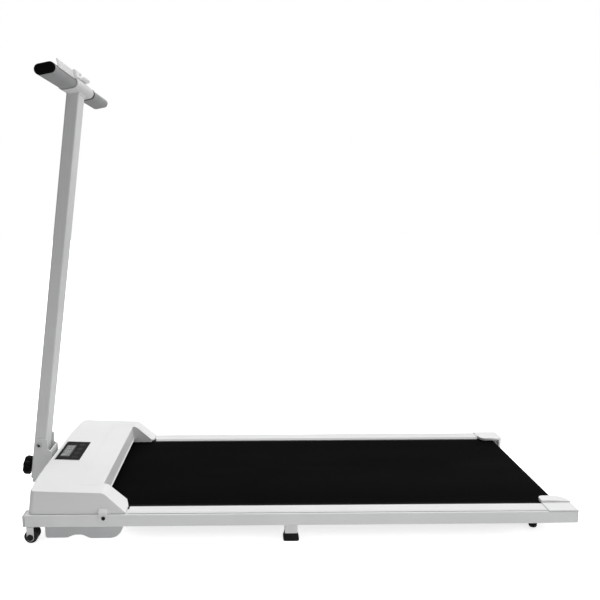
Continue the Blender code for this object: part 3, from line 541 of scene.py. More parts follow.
def grip_foam():
    """Closed-cell grey foam: small pores, soft mottling, slightly darker where hands rub."""
    look = Look("grey_grip_foam", specular=0.18)
    pores = look.span(look.cells(1300.0), 0.05, 0.45)
    worn = look.span(look.noise(18.0, 3.0), 0.40, 0.70)
    mottle = look.span(look.noise(350.0, 3.0), *CONTRAST)
    base = look.mix(mottle, (0.350, 0.354, 0.360), (0.430, 0.434, 0.440))
    look.colour(look.mix(look.maths("MULTIPLY", worn, 0.30), base, (0.31, 0.31, 0.315)))
    look.rough(look.span(look.noise(90.0, 3.0), *CONTRAST, 0.72, 0.88))
    return look.relief((pores, 0.00022, 0.55), (look.noise(500.0, 3.0), 0.00012, 0.35))


def belt_surface():
    """PVC walking surface: a fine crossed emboss, faint wear down its middle and some dust."""
    look = Look("walking_belt_pvc", specular=0.02)
    diagonal = look.node("Mapping", Vector=look.place)
    diagonal.inputs["Rotation"].default_value = (0.0, 0.0, math.radians(45))
    weave = look.maths("MULTIPLY", look.wave(210.0, "X", diagonal.outputs["Vector"]),
                       look.wave(210.0, "Y", diagonal.outputs["Vector"]))
    across = look.node("SeparateXYZ", Vector=look.place).outputs["Y"]
    walked = look.span(look.maths("ABSOLUTE", across), 0.16, 0.02)
    streaks = look.noise(5.0, 4.0, 0.6, look.stretch((0.35, 1.0, 1.0)))
    patch = look.maths("MULTIPLY", walked, look.span(streaks, 0.4, 0.7))
    dust = look.span(look.noise(140.0, 6.0, 0.7), 0.60, 0.76)
    base = look.mix(weave, (0.0014, 0.0014, 0.0015), (0.0030, 0.0030, 0.0031))
    base = look.mix(look.maths("MULTIPLY", patch, 0.35), base, (0.0042, 0.0042, 0.0042))
    look.colour(look.mix(look.maths("MULTIPLY", dust, 0.12), base, (0.022, 0.022, 0.021)))
    look.rough(look.span(patch, 0.0, 1.0, 0.86, 0.74))
    return look.relief((weave, 0.00030, 0.6), (look.noise(900.0, 3.0), 0.00008, 0.4))


def belt_ply():
    """Grey woven carcass that shows at the belt's cut edge."""
    look = Look("belt_ply", specular=0.15, roughness=0.85)
    thread = look.wave(480.0, "X")
    look.colour(look.mix(thread, (0.045, 0.045, 0.047), (0.105, 0.105, 0.108)))
    return look.relief((thread, 0.00012, 0.6), (look.noise(800.0, 2.0), 0.00008, 0.4))


def steel(name, light, dark, rough_low, rough_high):
    """Turned or drawn steel with fine tool lines round its axis and dull patches."""
    look = Look(name, metallic=1.0)
    lines = look.noise(40.0, 5.0, 0.7, look.stretch((6.0, 60.0, 6.0)))
    tarnish = look.span(look.noise(28.0, 4.0, 0.6), 0.45, 0.75)
    look.colour(look.mix(tarnish, light, dark))
    look.rough(look.span(look.maths("ADD", lines, tarnish), 0.3, 1.3, rough_low, rough_high))
    return look.relief((lines, 0.00004, 0.4), (look.noise(500.0, 3.0), 0.00003, 0.3))


def aluminium():
    """Extruded aluminium with die lines along Y."""
    look = Look("extruded_aluminium", metallic=1.0)
    lines = look.noise(90.0, 5.0, 0.7, look.stretch((14.0, 0.4, 14.0)))
    cloud = look.span(look.noise(30.0), *CONTRAST)
    look.colour(look.mix(cloud, (0.62, 0.63, 0.64), (0.74, 0.75, 0.76)))
    look.rough(look.span(lines, *CONTRAST, 0.30, 0.48))
    return look.relief((lines, 0.00006, 0.5), (look.noise(600.0, 2.0), 0.00003, 0.2))


def deck_board():
    """Fibreboard with a black low-friction face on top and brown pressed fibre at its edges."""
    look = Look("laminated_fibreboard", specular=0.2)
    fibre = look.noise(420.0, 6.0, 0.7, look.stretch((0.35, 0.35, 1.6)))
    brown = look.mix(look.span(fibre, *CONTRAST), (0.150, 0.095, 0.055), (0.270, 0.185, 0.115))
    normal = look.node("NewGeometry").outputs["True Normal"]
    upward = look.node("SeparateXYZ", Vector=normal).outputs["Z"]
    face = look.span(look.maths("ABSOLUTE", upward), 0.7, 0.9)
    look.colour(look.mix(face, brown, (0.010, 0.010, 0.010)))
    look.rough(look.span(face, 0.0, 1.0, 0.85, 0.45))
    return look.relief((fibre, 0.00015, 0.5), (look.noise(60.0, 3.0), 0.0001, 0.2))


def circuit_board():
    """Green solder mask over copper tracks, with small tinned pads."""
    look = Look("solder_mask_board", specular=0.5)
    grid = look.node("TexBrick", Vector=look.place, Scale=170.0)
    grid.inputs["Color1"].default_value = (1.0, 1.0, 1.0, 1.0)
    grid.inputs["Color2"].default_value = (0.2, 0.2, 0.2, 1.0)
    grid.inputs["Mortar"].default_value = (0.0, 0.0, 0.0, 1.0)
    pads = look.span(look.cells(330.0), 0.24, 0.20)
    tracks = look.mix(grid.outputs["Fac"], (0.010, 0.085, 0.030), (0.020, 0.170, 0.060))
    tinned = look.maths("MULTIPLY", pads, look.span(look.noise(60.0), 0.5, 0.6))
    look.colour(look.mix(tinned, tracks, (0.55, 0.55, 0.50)))
    look.rough(look.span(look.noise(200.0), *CONTRAST, 0.28, 0.42))
    return look.relief((grid.outputs["Fac"], 0.0001, 0.5), (pads, 0.0002, 0.4))


def console_black():
    """Printed black console foil: satin, with the faintest texture and finger smears."""
    look = Look("console_foil", specular=0.05)
    smear = look.span(look.noise(45.0, 5.0, 0.6, look.stretch((1.0, 0.4, 1.0))), 0.45, 0.75)
    look.colour(look.mix(smear, (0.0030, 0.0030, 0.0032), (0.0065, 0.0065, 0.0068)))
    look.rough(look.span(smear, 0.0, 1.0, 0.42, 0.60))
    return look.relief((look.noise(1300.0, 2.0), 0.00003, 0.4),
                       (look.noise(200.0, 2.0), 0.00002, 0.2))


def lcd_pane():
    """Grey reflective liquid-crystal pane with its fine electrode grid."""
    look = Look("lcd_pane", specular=0.5)
    grid = look.maths("MAXIMUM", look.wave(500.0, "X"), look.wave(500.0, "Y"))
    tone = look.mix(look.span(look.noise(30.0, 3.0), *CONTRAST), (0.110, 0.114, 0.116),
                    (0.155, 0.160, 0.162))
    look.colour(look.mix(look.maths("MULTIPLY", grid, 0.25), tone, (0.075, 0.078, 0.082)))
    look.rough(look.span(look.noise(80.0), *CONTRAST, 0.18, 0.28))
    return look.relief((grid, 0.00002, 0.3), (look.noise(300.0), 0.00002, 0.2))


def printed(name, *tones):
    """Screen-printed ink, very slightly uneven."""
    return finish(name, cloud=(900.0, 3.0, *CONTRAST), tones=tones, rough=(300.0, 2.0, 0.50, 0.62),
                  relief=((1500.0, 2.0, 0.00003, 0.3),), specular=0.3)


def weld_metal():
    """Painted weld bead: powder coat pooled over the ripples."""
    look = Look("painted_weld", specular=0.35, roughness=0.45)
    ripple = look.wave(330.0, "Y")
    cloud = look.span(look.noise(120.0, 3.0), *CONTRAST)
    look.colour(look.mix(cloud, (0.70, 0.705, 0.71), (0.77, 0.775, 0.78)))
    return look.relief((ripple, 0.0003, 0.6), (look.noise(500.0, 3.0), 0.0001, 0.3))


def floor_look():
    """White to the eye; what it throws back fades with distance, as a pool of studio light does."""
    look = Look("studio_floor", roughness=0.9, specular=0.0)
    away = look.node("VectorMath", Vector=look.place)
    away.operation = "DISTANCE"
    away.inputs[1].default_value = POOL_CENTRE
    pool = look.span(away.outputs["Value"], *POOL_REACH, *POOL_SHADE)
    seen = look.node("LightPath").outputs["Is Camera Ray"]
    look.feed(look.shader.inputs["Emission Color"], (1.0, 1.0, 1.0, 1.0))
    glow = look.span(away.outputs["Value"], *POOL_REACH, FLOOR_GLOW, 0.0)
    strength = look.node("Mix", Factor=seen)
    look.feed(strength.inputs["A"], glow)
    look.feed(strength.inputs["B"], TABLE_GLOW)
    look.feed(look.shader.inputs["Emission Strength"], strength.outputs["Result"])
    grey = look.node("CombineColor", Red=pool, Green=pool, Blue=pool)
    look.colour(look.mix(seen, grey.outputs["Color"], (1.0, 1.0, 1.0)))
    return look.material


LOOKS = {name: look.material for name, look in {
    # white powder coat: orange peel, faint blotches and a few fine rubbed marks
    "paint": finish(
        "white_powder_coat", cloud=(9.0, 3.0, 0.35, 0.65), specular=0.35,
        tones=((0.745, 0.750, 0.755), (0.785, 0.790, 0.795)),
        marks=(60.0, 6.0, 0.65, 0.66, 0.74), stretch=(0.25, 1.0, 1.0),
        mark=(0.18, (0.56, 0.56, 0.57)), rough=(35.0, 4.0, 0.36, 0.50),
        relief=((900.0, 2.0, 0.00006, 0.35), (140.0, 2.0, 0.00008, 0.20))),
    # moulded white ABS with a fine sparked grain and light handling marks
    "white_plastic": finish(
        "white_moulded_plastic", cloud=(6.0, 2.0, 0.35, 0.65), specular=0.30,
        tones=((0.770, 0.772, 0.775), (0.800, 0.802, 0.805)),
        marks=(45.0, 7.0, 0.7, 0.68, 0.78), stretch=(1.0, 0.3, 1.0),
        mark=(0.14, (0.60, 0.60, 0.61)), rough=(50.0, 4.0, 0.44, 0.58),
        relief=((1500.0, 0, 0.00005, 0.35), (420.0, 3.0, 0.00005, 0.25))),
    "clear_white": clear_white(),
    # light grey polypropylene of the pan and rail plugs, coarser and duller than the hood
    "grey_plastic": finish(
        "grey_moulded_plastic", cloud=(7.0, 2.0, *CONTRAST), specular=0.25,
        tones=((0.56, 0.57, 0.58), (0.61, 0.62, 0.63)), marks=(22.0, 5.0, 0.6, 0.45, 0.75),
        mark=(0.25, (0.50, 0.49, 0.47)), rough=(60.0, 4.0, 0.50, 0.66),
        relief=((1100.0, 0, 0.00008, 0.4), (300.0, 3.0, 0.00008, 0.25))),
    "grip": grip_foam(),
    # black moulded nylon with a leather-like grain and greyish scuffs
    "black_plastic": finish(
        "black_moulded_plastic", cloud=(14.0, 2.0, *CONTRAST), specular=0.35,
        tones=((0.0055, 0.0055, 0.0060), (0.011, 0.011, 0.012)), marks=(80.0, 7.0, 0.7, 0.62, 0.74),
        mark=(0.35, (0.045, 0.045, 0.047)), rough=(70.0, 4.0, 0.42, 0.60),
        relief=((1000.0, 0, 0.00012, 0.45), (260.0, 3.0, 0.00008, 0.25))),
    # deep black glass-filled nylon: matt, with a fine spark grain and a few rubbed edges
    "knob": finish(
        "black_glass_nylon", cloud=(20.0, 2.0, *CONTRAST), specular=0.10,
        tones=((0.0022, 0.0022, 0.0024), (0.0045, 0.0045, 0.0050)),
        marks=(120.0, 7.0, 0.7, 0.66, 0.76), mark=(0.25, (0.022, 0.022, 0.023)),
        rough=(80.0, 4.0, 0.55, 0.72),
        relief=((1200.0, 0, 0.00010, 0.4), (300.0, 3.0, 0.00008, 0.25))),
    # dull black rubber, dusty in its low spots
    "rubber": finish(
        "black_rubber", cloud=(30.0, 3.0, *CONTRAST), specular=0.20,
        tones=((0.0060, 0.0060, 0.0060), (0.012, 0.012, 0.012)),
        marks=(55.0, 6.0, 0.65, 0.52, 0.75), mark=(0.30, (0.060, 0.057, 0.052)),
        rough=(120.0, 4.0, 0.70, 0.90),
        relief=((750.0, 4.0, 0.00015, 0.5), (90.0, 3.0, 0.00015, 0.2))),
    "belt": belt_surface(),
    "belt_ply": belt_ply(),
    "steel": steel("turned_steel", (0.52, 0.52, 0.53), (0.38, 0.37, 0.36), 0.24, 0.46),
    "zinc": steel("zinc_plate", (0.60, 0.61, 0.62), (0.48, 0.49, 0.48), 0.30, 0.50),
    # black oxide, with bright steel starting to show in small spots
    "black_steel": finish(
        "black_oxide_steel", cloud=(25.0, 3.0, *CONTRAST), metallic=0.75,
        tones=((0.012, 0.012, 0.013), (0.026, 0.026, 0.028)), marks=(190.0, 6.0, 0.7, 0.66, 0.74),
        mark=(0.5, (0.16, 0.155, 0.15)), rough=(90.0, 4.0, 0.34, 0.52),
        relief=((700.0, 3.0, 0.00005, 0.4), (120.0, 2.0, 0.00005, 0.2))),
    "aluminium": aluminium(),
    "board": deck_board(),
    "circuit": circuit_board(),
    "console": console_black(),
    "lcd": lcd_pane(),
    "digits": printed("lit_segments", (0.42, 0.43, 0.44), (0.50, 0.51, 0.52)),
    "marks": printed("key_print", (0.085, 0.086, 0.088), (0.120, 0.121, 0.123)),
    "weld": weld_metal(),
}.items()}


# ---------------------------------------------------------------- frame pieces
def rails():
    """Box rails with rounded edges, and a recessed plug in the front end of each."""
    low, high = RAIL_LOW.z, RAIL_HIGH.z
    rim, depth = 0.004, 0.0006
    for name, side in SIDES.items():
        inner, outer = side * RAIL_INNER, side * RAIL_OUTER
        outline = rounded([(inner, low, 0.0015), (outer, low, 0.0022), (outer, high, 0.0020),
                           (inner, high, 0.0015)])
        rail = soften(prism(name + "_rail_tube", outline, 0.0, RAIL_LENGTH, "X"), 0.0006, 2)
        fixed(rail, "paint", name + "_side_rail")

        first, last = local_box(name + "_rail_plug")
        flange = prism(name + "_plug", rectangle(first.y, low, last.y, high, 0.002), first.x,
                       -0.0003, "X")
        hollow = rectangle(first.y + rim, low + rim, last.y - rim, high - rim, 0.002)
        recess = prism("recess", hollow, first.x - 0.001, first.x + depth, "X")
        fixed(cut(soften(flange, 0.0014, 4), recess), "grey_plastic", name + "_rail_plug")


def foot_strips():
    """Standing strips: an inner edge sloping down to the deck, fine ribs and a groove outside."""
    ribs, pitch, valley = 4, 0.0060, 0.0004
    inner_inset, outer_inset = 0.0037, 0.0035      # against the CAD strip
    lift = 0.0005                                  # shadow gap under the outer edge
    for name, side in SIDES.items():
        low, high = local_box(name + "_foot_rail")
        inner, outer = sorted((abs(low.y), abs(high.y)))
        inner += inner_inset
        outer -= outer_inset
        base, top = low.z, high.z
        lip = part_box("running_deck")[1].z + 0.0002
        profile = [(inner + 0.0022, base), (inner - 0.0015, lip), (inner - 0.0044, lip),
                   (inner - 0.0002, top - 0.0002), (inner + 0.0004, top)]
        for rib in range(ribs):
            at = inner + 0.0075 + pitch * rib
            profile += [(at, top), (at + 0.0005, top - valley), (at + 0.0011, top - valley),
                        (at + 0.0016, top)]
        profile += [(outer - 0.0046, top), (outer - 0.0042, top - 0.0007),
                    (outer - 0.0034, top - 0.0007), (outer - 0.0030, top),
                    (outer - 0.0005, top), (outer, top - 0.0004), (outer, base + lift),
                    (outer - 0.0030, base + lift), (outer - 0.0030, base)]
        strip = prism(name + "_foot_strip", [(side * y, z) for y, z in profile], low.x, high.x, "X")
        fixed(strip, "white_plastic", name + "_foot_rail")


def side_block(name, side, x, y, z):
    """A box on one side, from the (low, high) of each axis, Y as distances to the middle."""
    y = span_y(side, *y)
    return block(name, (x[0], y[0], z[0]), (x[1], y[1], z[1]))


def end_caps():
    """Rear covers: a plate over the rail, a D-shaped lobe over the belt's edge and a skirt."""
    lobe_inner, seam = 0.1920, 0.2188
    plate, top, skirt, skirt_foot = 0.0633, 0.0662, 0.0030, 0.0370
    for name, side in SIDES.items():
        low, high = local_box(name + "_end_cap")
        start, end = low.x, high.x
        angle = [(start, plate), (start, top), (end, top), (end, skirt_foot),
                 (end - skirt, skirt_foot), (end - skirt, plate)]
        cover = prism(name + "_rear_cover", angle, *span_y(side, 0.2194, 0.2597), "Y")
        corners = [(start + 0.0005, seam, 0), (start + 0.0005, lobe_inner, 0.0130),
                   (end - 0.0012, lobe_inner, 0.0200), (end - 0.0004, seam, 0)]
        plan = rounded([(x, side * y, radius) for x, y, radius in corners], 10)
        lobe = prism("lobe", plan, 0.0376, 0.0701, "Z")
        slope = prism("slope", [(start + 0.0250, 0.0702), (end + 0.01, 0.0672),
                                (end + 0.01, 0.0900), (start + 0.0250, 0.0900)], -0.3, 0.3, "Y")
        hollow = block("hollow", (start - 0.01, -0.30, 0.02), (end - 0.0117, 0.30, 0.0644))
        cut(lobe, slope, hollow)
        soften(cover, 0.0022, 4, 50)
        soften(lobe, 0.0016, 4, 50)
        bridge = side_block("bridge", side, (start + 0.002, end - 0.0011), (0.2160, 0.2240),
                            (0.0638, 0.0652))
        link = side_block("link", side, (1.1479, end - 0.0012), (0.2165, 0.2290), (0.0380, 0.0648))
        add(cover, bridge, link, lobe)
        fixed(cover, "white_plastic", name + "_end_cap")


def belt():
    """The walking belt as one band with rounded edges, its cut edges showing the ply."""
    low, high = local_box("walking_belt")
    radius, level, half = (high.z - low.z) / 2, (high.z + low.z) / 2, high.y
    thick, edge, strips = 0.0016, 0.0004, 12
    path = belt_loop((low.x + radius, level), radius - thick, (high.x - radius, level),
                     radius - thick, 28, 14)
    section = [(-half + edge, 0.0), (-half, edge), (-half, thick - edge), (-half + edge, thick)]
    section += [(-half + (2 * half) * step / strips, thick) for step in range(1, strips)]
    section += [(half - edge, thick), (half, thick - edge), (half, edge), (half - edge, 0.0)]
    band = fixed(sweep_loop("walking_band", path, section), "belt",
                 "walking_belt")
    band.data.materials.append(LOOKS["belt_ply"])
    for face in band.data.polygons:
        if abs(face.normal.y) > 0.9:               # the belt's two cut edges
            face.material_index = 1


def pan():
    """Moulded tray under the motor end, its floor dipping under the motor and front roller."""
    low, high = local_box("bottom_pan")
    front, rear, top, bottom, half = low.x, high.x, high.z, low.z, high.y
    wall, bend = 0.0022, 0.016
    floor = [(front, bottom + 0.0015, 0.005), (front + 0.0455, bottom + 0.0015, bend),
             (front + 0.0615, bottom + 0.0080, bend), (front + 0.0775, bottom + 0.0080, bend),
             (front + 0.0935, bottom, bend)]
    outline = rounded([*floor, (rear, bottom, 0.0270), (rear, top, 0), (front, top, 0)], 12)
    tray = soften(prism("pan_tray", outline, -half, half, "Y"), 0.0022, 4, 40)
    hollow = block("hollow", (front + wall, -half + wall, 0.0200),
                   (rear - 0.0150, half - wall, top + 0.01))
    well = block("well", (front + 0.0480, -half + wall, 0.0172),
                 (front + 0.1300, half - wall, 0.0300))
    outlet_side = min(local_box(node)[0].y for node in ("power_inlet", "power_switch")) - 0.0003
    outlet = block("outlet", (front - 0.005, outlet_side, 0.0133), (front + 0.004, -0.1817, 0.0327))
    cut(tray, hollow, well, outlet)
    slots, pitch, slot_width, slot_half, slot_y = 7, 0.0055, 0.0024, 0.022, 0.150
    for side in SIDES.values():
        for slot in range(slots):
            x = front + 0.1020 + pitch * slot
            outline = rectangle(x, side * slot_y - slot_half, x + slot_width,
                                side * slot_y + slot_half, 0.0010, 3)
            cut(tray, prism("vent", outline, bottom - 0.002, bottom + 0.004, "Z"))
    fixed(tray, "grey_plastic", "bottom_pan")


# ---------------------------------------------------------------- motor hood
HOOD_SLOPE = 0.0361            # fall of the hood's top towards the rear, metres per metre
HOOD_LOW, HOOD_HIGH = local_box("motor_hood")
HOOD_TOP = 0.1130              # height of the hood's top at X = 0
HOOD_BASE = RAIL_HIGH.z + 0.0011
HOOD_REAR_TOP = 0.1635         # where the top turns down towards the rails
HOOD_HALF = 0.2555
HOOD_RISE = 0.050              # height over which the sides lean in by the drafts below
SIDE_DRAFT = 0.0275
FRONT_DRAFT = 0.0050
BOW = 0.0045                   # how far the front curves back at BOW_SPAN from the middle
BOW_SPAN = 0.222
BOW_STEPS = 12
CORNER_Y = 0.236
WING_INNER = 0.1975
WALL_FOOT = 0.0745             # height of the rear wall's lower edge
HOOD_WALL = 0.0025
TAB_X = sum((corner.x for corner in local_box("left_hood_screw")), 0.0) / 2
SCREW_Z = sum((corner.z for corner in local_box("left_hood_screw")), 0.0) / 2


def hood_top(x):
    """Height of the hood's top at a distance from the rail fronts."""
    return HOOD_TOP - HOOD_SLOPE * x


def hood_plan(name, inset, low, high):
    """Plan of the hood: bowed front, round corners, sides leaning inwards as they rise."""
    half = HOOD_HALF - inset
    front = HOOD_LOW.x + inset
    rear, corner_radius = 0.240, 0.012
    across = [CORNER_Y * step / BOW_STEPS for step in range(1 - BOW_STEPS, BOW_STEPS)]
    bow = [(front + BOW * (y / BOW_SPAN) ** 4, y, 0) for y in across]
    corner = front + 0.0072
    corners = [(rear, -half, 0), (corner, -half, corner_radius), *bow,
               (corner, half, corner_radius), (rear, half, 0)]
    obj = prism(name, rounded(corners, 8), low, high, "Z")
    for vertex in obj.data.vertices:
        height = (vertex.co.z - HOOD_BASE) / HOOD_RISE
        vertex.co.y *= 1 - SIDE_DRAFT * height
        if vertex.co.x < 0.10:
            vertex.co.x += FRONT_DRAFT * height
    return obj


def hood_side(name, inset, half, bottom):
    """Side profile of the hood carried across it."""
    end = HOOD_HIGH.x - 0.0030 - inset
    outline = rounded([(-0.0300, bottom, 0), (-0.0300, hood_top(-0.030) - inset, 0),
                       (HOOD_REAR_TOP - inset * 0.4, hood_top(HOOD_REAR_TOP) - inset, 0.020),
                       (end, 0.0660 - inset * 0.3, 0), (end, bottom, 0)], 12)
    return prism(name, outline, -half, half, "Y")


def hood_notch(name, grow):
    """Space between the two rear wings, in front of which the rear wall stands."""
    outline = [(0.1542 - grow, 0.1200), (0.1568 - grow, WALL_FOOT), (0.1568 - grow, 0.0300),
               (0.2400, 0.0300), (0.2400, 0.1200)]
    half = WING_INNER + grow
    return prism(name, outline, -half, half, "Y")


def top_slab(name, x0, x1, y0, y1, lift, drop):
    """A thin slab that follows the hood's sloping top, from drop below it to lift above it."""
    outline = [(x0, hood_top(x0) - drop), (x1, hood_top(x1) - drop),
               (x1, hood_top(x1) + lift), (x0, hood_top(x0) + lift)]
    return prism(name, outline, y0, y1, "Y")


def hood():
    """Motor cover: rounded shell with two rear wings, a leaning rear wall and screw tabs."""
    reach, above = 0.2700, 0.1250                  # beyond the hood to the side and above it
    shell = hood_side("hood_shell", 0.0, reach, 0.0450)
    shell = combine(shell, hood_plan("plan", 0.0, 0.0400, above), "INTERSECT")
    soften(shell, 0.0050, 6, 35)
    cut(shell, hood_notch("notch", 0.0), block("below", (-0.1, -0.3, 0.03), (0.3, 0.3, HOOD_BASE)))
    for side in SIDES.values():
        corner = [(x, side * y) for x, y in ((0.2035, 0.1960), (0.2160, 0.1960), (0.2160, 0.2190),
                                             (0.2100, 0.2190))]
        cut(shell, prism("wing_end", corner, 0.0300, 0.1200, "Z"))
    soften(shell, 0.0024, 5, 42)
    cavity = hood_side("cavity", HOOD_WALL, reach, 0.0300)
    cavity = combine(cavity, hood_plan("plan", HOOD_WALL, 0.0300, above), "INTERSECT")
    soften(cavity, 0.0030, 3, 35)
    cut(cavity, hood_notch("notch", HOOD_WALL))
    cut(shell, cavity)
    cut(shell, block("belt_gap", (0.1000, -WING_INNER, 0.0400), (0.1700, WING_INNER, WALL_FOOT)))
    lip = ((0.1555, -0.0004), (0.1588, -0.0004), (0.1590, 0.0), (0.1588, 0.0006),
           (0.1572, 0.0012), (0.1555, 0.0030))
    reach = WING_INNER + 0.0005
    foot = prism("foot_lip", [(x, WALL_FOOT + rise) for x, rise in lip], -reach, reach, "Y")
    crease_half, crease_depth = 0.2100, 0.0004
    for x, width in ((0.0990, 0.0009), (0.1040, 0.0007)):
        cut(shell, top_slab("crease", x, x + width, -crease_half, crease_half, 0.004, crease_depth))
    for side in SIDES.values():
        ends = span_y(side, 0.2093, crease_half)
        cut(shell, top_slab("crease", 0.1046, 0.1500, *ends, 0.004, crease_depth))

    display_low, display_high = local_box("display_frame")
    inset = Vector((0.0026, 0.0026))
    x0, y0 = display_low.xy + inset
    x1, y1 = display_high.xy - inset
    rim = 0.0016
    add(shell, top_slab("display_rim", x0 - rim, x1 + rim, y0 - rim, y1 + rim, 0.0007, 0.0015))
    cut(shell, top_slab("display_opening", x0, x1, y0, y1, 0.01, 0.02))
    tabs = []
    for side in SIDES.values():
        profile = [(side * y, z) for y, z in (
            (0.2603, 0.0520), (0.2625, 0.0520), (0.2625, 0.0664), (0.2618, 0.0690),
            (0.2592, 0.0722), (0.2548, 0.0748), (0.2510, 0.0757), (0.2490, 0.0757),
            (0.2490, 0.0640), (0.2603, 0.0640))]
        tab = prism("tab", profile, TAB_X - 0.0105, TAB_X + 0.0080, "X")
        hole = lathe("hole", [(0, -0.006), (0.0021, -0.006), (0.0021, 0.006), (0, 0.006)], 24)
        cut(tab, turn(hole, "Y", (TAB_X, side * 0.2610, SCREW_Z)))
        tabs.append(soften(tab, 0.0005, 2, 50))
    gather(shell, foot, *tabs)
    fixed(shell, "white_plastic", "motor_hood")


SEGMENTS = {"a": ((0, 2), (1, 2)), "b": ((1, 1), (1, 2)), "c": ((1, 0), (1, 1)),
            "d": ((0, 0), (1, 0)), "e": ((0, 0), (0, 1)), "f": ((0, 1), (0, 2)),
            "g": ((0, 1), (1, 1))}
DIGITS = {"0": "abcdef", "3": "abcdg", "5": "acdfg", "8": "abcdefg"}
INK = 0.00008                  # thickness of the print


def flat_bar(shape, start, end, width):
    """One printed stroke with pointed ends, added to a bmesh."""
    start, end = Vector(start), Vector(end)
    ahead = (end - start).normalized()
    side = Vector((-ahead.y, ahead.x)) * width / 2
    nib = ahead * width / 2
    ring = [start, start + nib + side, end - nib + side, end, end - nib - side, start + nib - side]
    skin(shape, [[shape.verts.new((*point, z)) for point in ring] for z in (0.0, INK)])


def ring_mark(shape, centre, outer, inner, steps=28):
    """A printed ring, added to a bmesh."""
    section = ((outer, 0.0), (outer, INK), (inner, INK), (inner, 0.0))
    skin(shape, [[shape.verts.new((centre[0] + x, centre[1] + y, z))
                  for x, y in circle(radius, steps)] for radius, z in section], around=True)


def display():
    """Console: black foil with a raised edge, a grey pane with digits, and printed touch keys."""
    low, high = local_box("display_frame")
    middle = (low.x + high.x) / 2
    tilt = Matrix.Rotation(math.atan(HOOD_SLOPE), 4, "Y")
    level = MACHINE @ Matrix.Translation((middle, 0, hood_top(middle) - 0.0002)) @ tilt
    margin = 0.0034                                # against the CAD frame
    half_x = (high.x - low.x) / 2 - margin
    half_y = (high.y - low.y) / 2 - margin
    plate = soften(prism("console_frame", rectangle(-half_x, -half_y, half_x, half_y, 0.0015, 4),
                         -0.0045, 0.0005, "Z"), 0.0003, 2)
    x0, y0, x1, y1 = -0.0228, -0.0395, -0.0005, 0.0395      # the window in the foil
    cut(plate, prism("window_cut", rectangle(x0, y0, x1, y1, 0.0008, 3), -0.01, 0.01, "Z"))
    piece(plate, level, "treadmill", "console", "display_frame")
    gap = 0.0003
    glass = prism("console_pane", rectangle(x0 + gap, y0 + gap, x1 - gap, y1 - gap, 0.0007, 3),
                  -0.0025, 0.0002, "Z")
    piece(soften(glass, 0.0002, 2), level, "treadmill", "lcd", "display_window")

    shape = bmesh.new()
    tall, wide, stroke = 0.0055, 0.0068, 0.0013
    for place, digit in zip((0.0300, 0.0190, 0.0040, -0.0070), "0358"):
        for segment in DIGITS[digit]:
            ends = [(-0.0060 - v * tall, place - u * wide) for u, v in SEGMENTS[segment]]
            flat_bar(shape, *ends, stroke)
    for x in (-0.0088, -0.0144):                   # the colon between the pairs of digits
        flat_bar(shape, (x - 0.0008, 0.0088), (x + 0.0008, 0.0088), 0.0014)
    for row in range(5):                           # bars of growing length beside them
        x = -0.0195 + 0.0033 * row
        flat_bar(shape, (x, -0.0205), (x, -0.0345 + 0.002 * row), 0.0014)
    piece(solid("console_digits", shape), level @ Matrix.Translation((0, 0, 0.00022)),
          "treadmill", "digits")

    shape = bmesh.new()
    x = 0.0130                                     # row of the touch keys
    minus, plus, pause, power = keys = (-0.0420, -0.0140, 0.0140, 0.0420)
    for place in keys:
        ring_mark(shape, (x, place), 0.0062, 0.0056)
    ring_mark(shape, (x, power), 0.0028, 0.0020)
    strokes = [(x, place - 0.0030, x, place + 0.0030, 0.0010) for place in (minus, plus)]
    strokes += [(0.0100, plus, 0.0122, plus, 0.0010), (0.0138, plus, 0.0160, plus, 0.0010)]
    strokes += [(0.0104, pause + y, 0.0156, pause + y, 0.0010) for y in (-0.0013, 0.0013)]
    strokes += [(0.0094, power, 0.0122, power, 0.0009)]
    strokes += [(0.0090, y, 0.0170, y, 0.0005) for y in (-0.0280, 0.0, 0.0280)]
    for x0, y0, x1, y1, width in strokes:
        flat_bar(shape, (x0, y0), (x1, y1), width)
    piece(solid("console_keys", shape), level @ Matrix.Translation((0, 0, 0.00052)),
          "treadmill", "marks")


def cross_screw(name, head_radius, head_low, head_high, shank_radius, shank_low):
    """A pan-head screw about local Z with a cross recess in its head."""
    rim = (head_high - head_low) * 0.45
    profile = [(0, head_high)]
    profile += [(head_radius * math.sin(a), head_high - rim + rim * math.cos(a))
                for a in (math.radians(20 * step) for step in range(1, 5))]
    profile += [(head_radius, head_high - rim), (head_radius, head_low), (shank_radius, head_low),
                (shank_radius, shank_low), (0, shank_low)]
    screw = lathe(name, profile, 32)
    arm = head_radius * 0.55
    slot = head_radius * 0.16
    depth = head_high - rim * 1.1
    cut(screw, block("slot", (-arm, -slot, depth), (arm, slot, head_high + 0.001)),
        block("slot", (-slot, -arm, depth), (slot, arm, head_high + 0.001)))
    return screw


def hood_screws():
    """One screw through each tab of the hood into the rail behind it."""
    for name, side in SIDES.items():
        screw = cross_screw(name + "_screw", 0.0040, 0.0028, 0.0055, 0.0018, -0.0030)
        turn(screw, "Y" if side > 0 else "-Y", (TAB_X, side * RAIL_OUTER, SCREW_Z))
        fixed(screw, "black_steel", name + "_hood_screw")


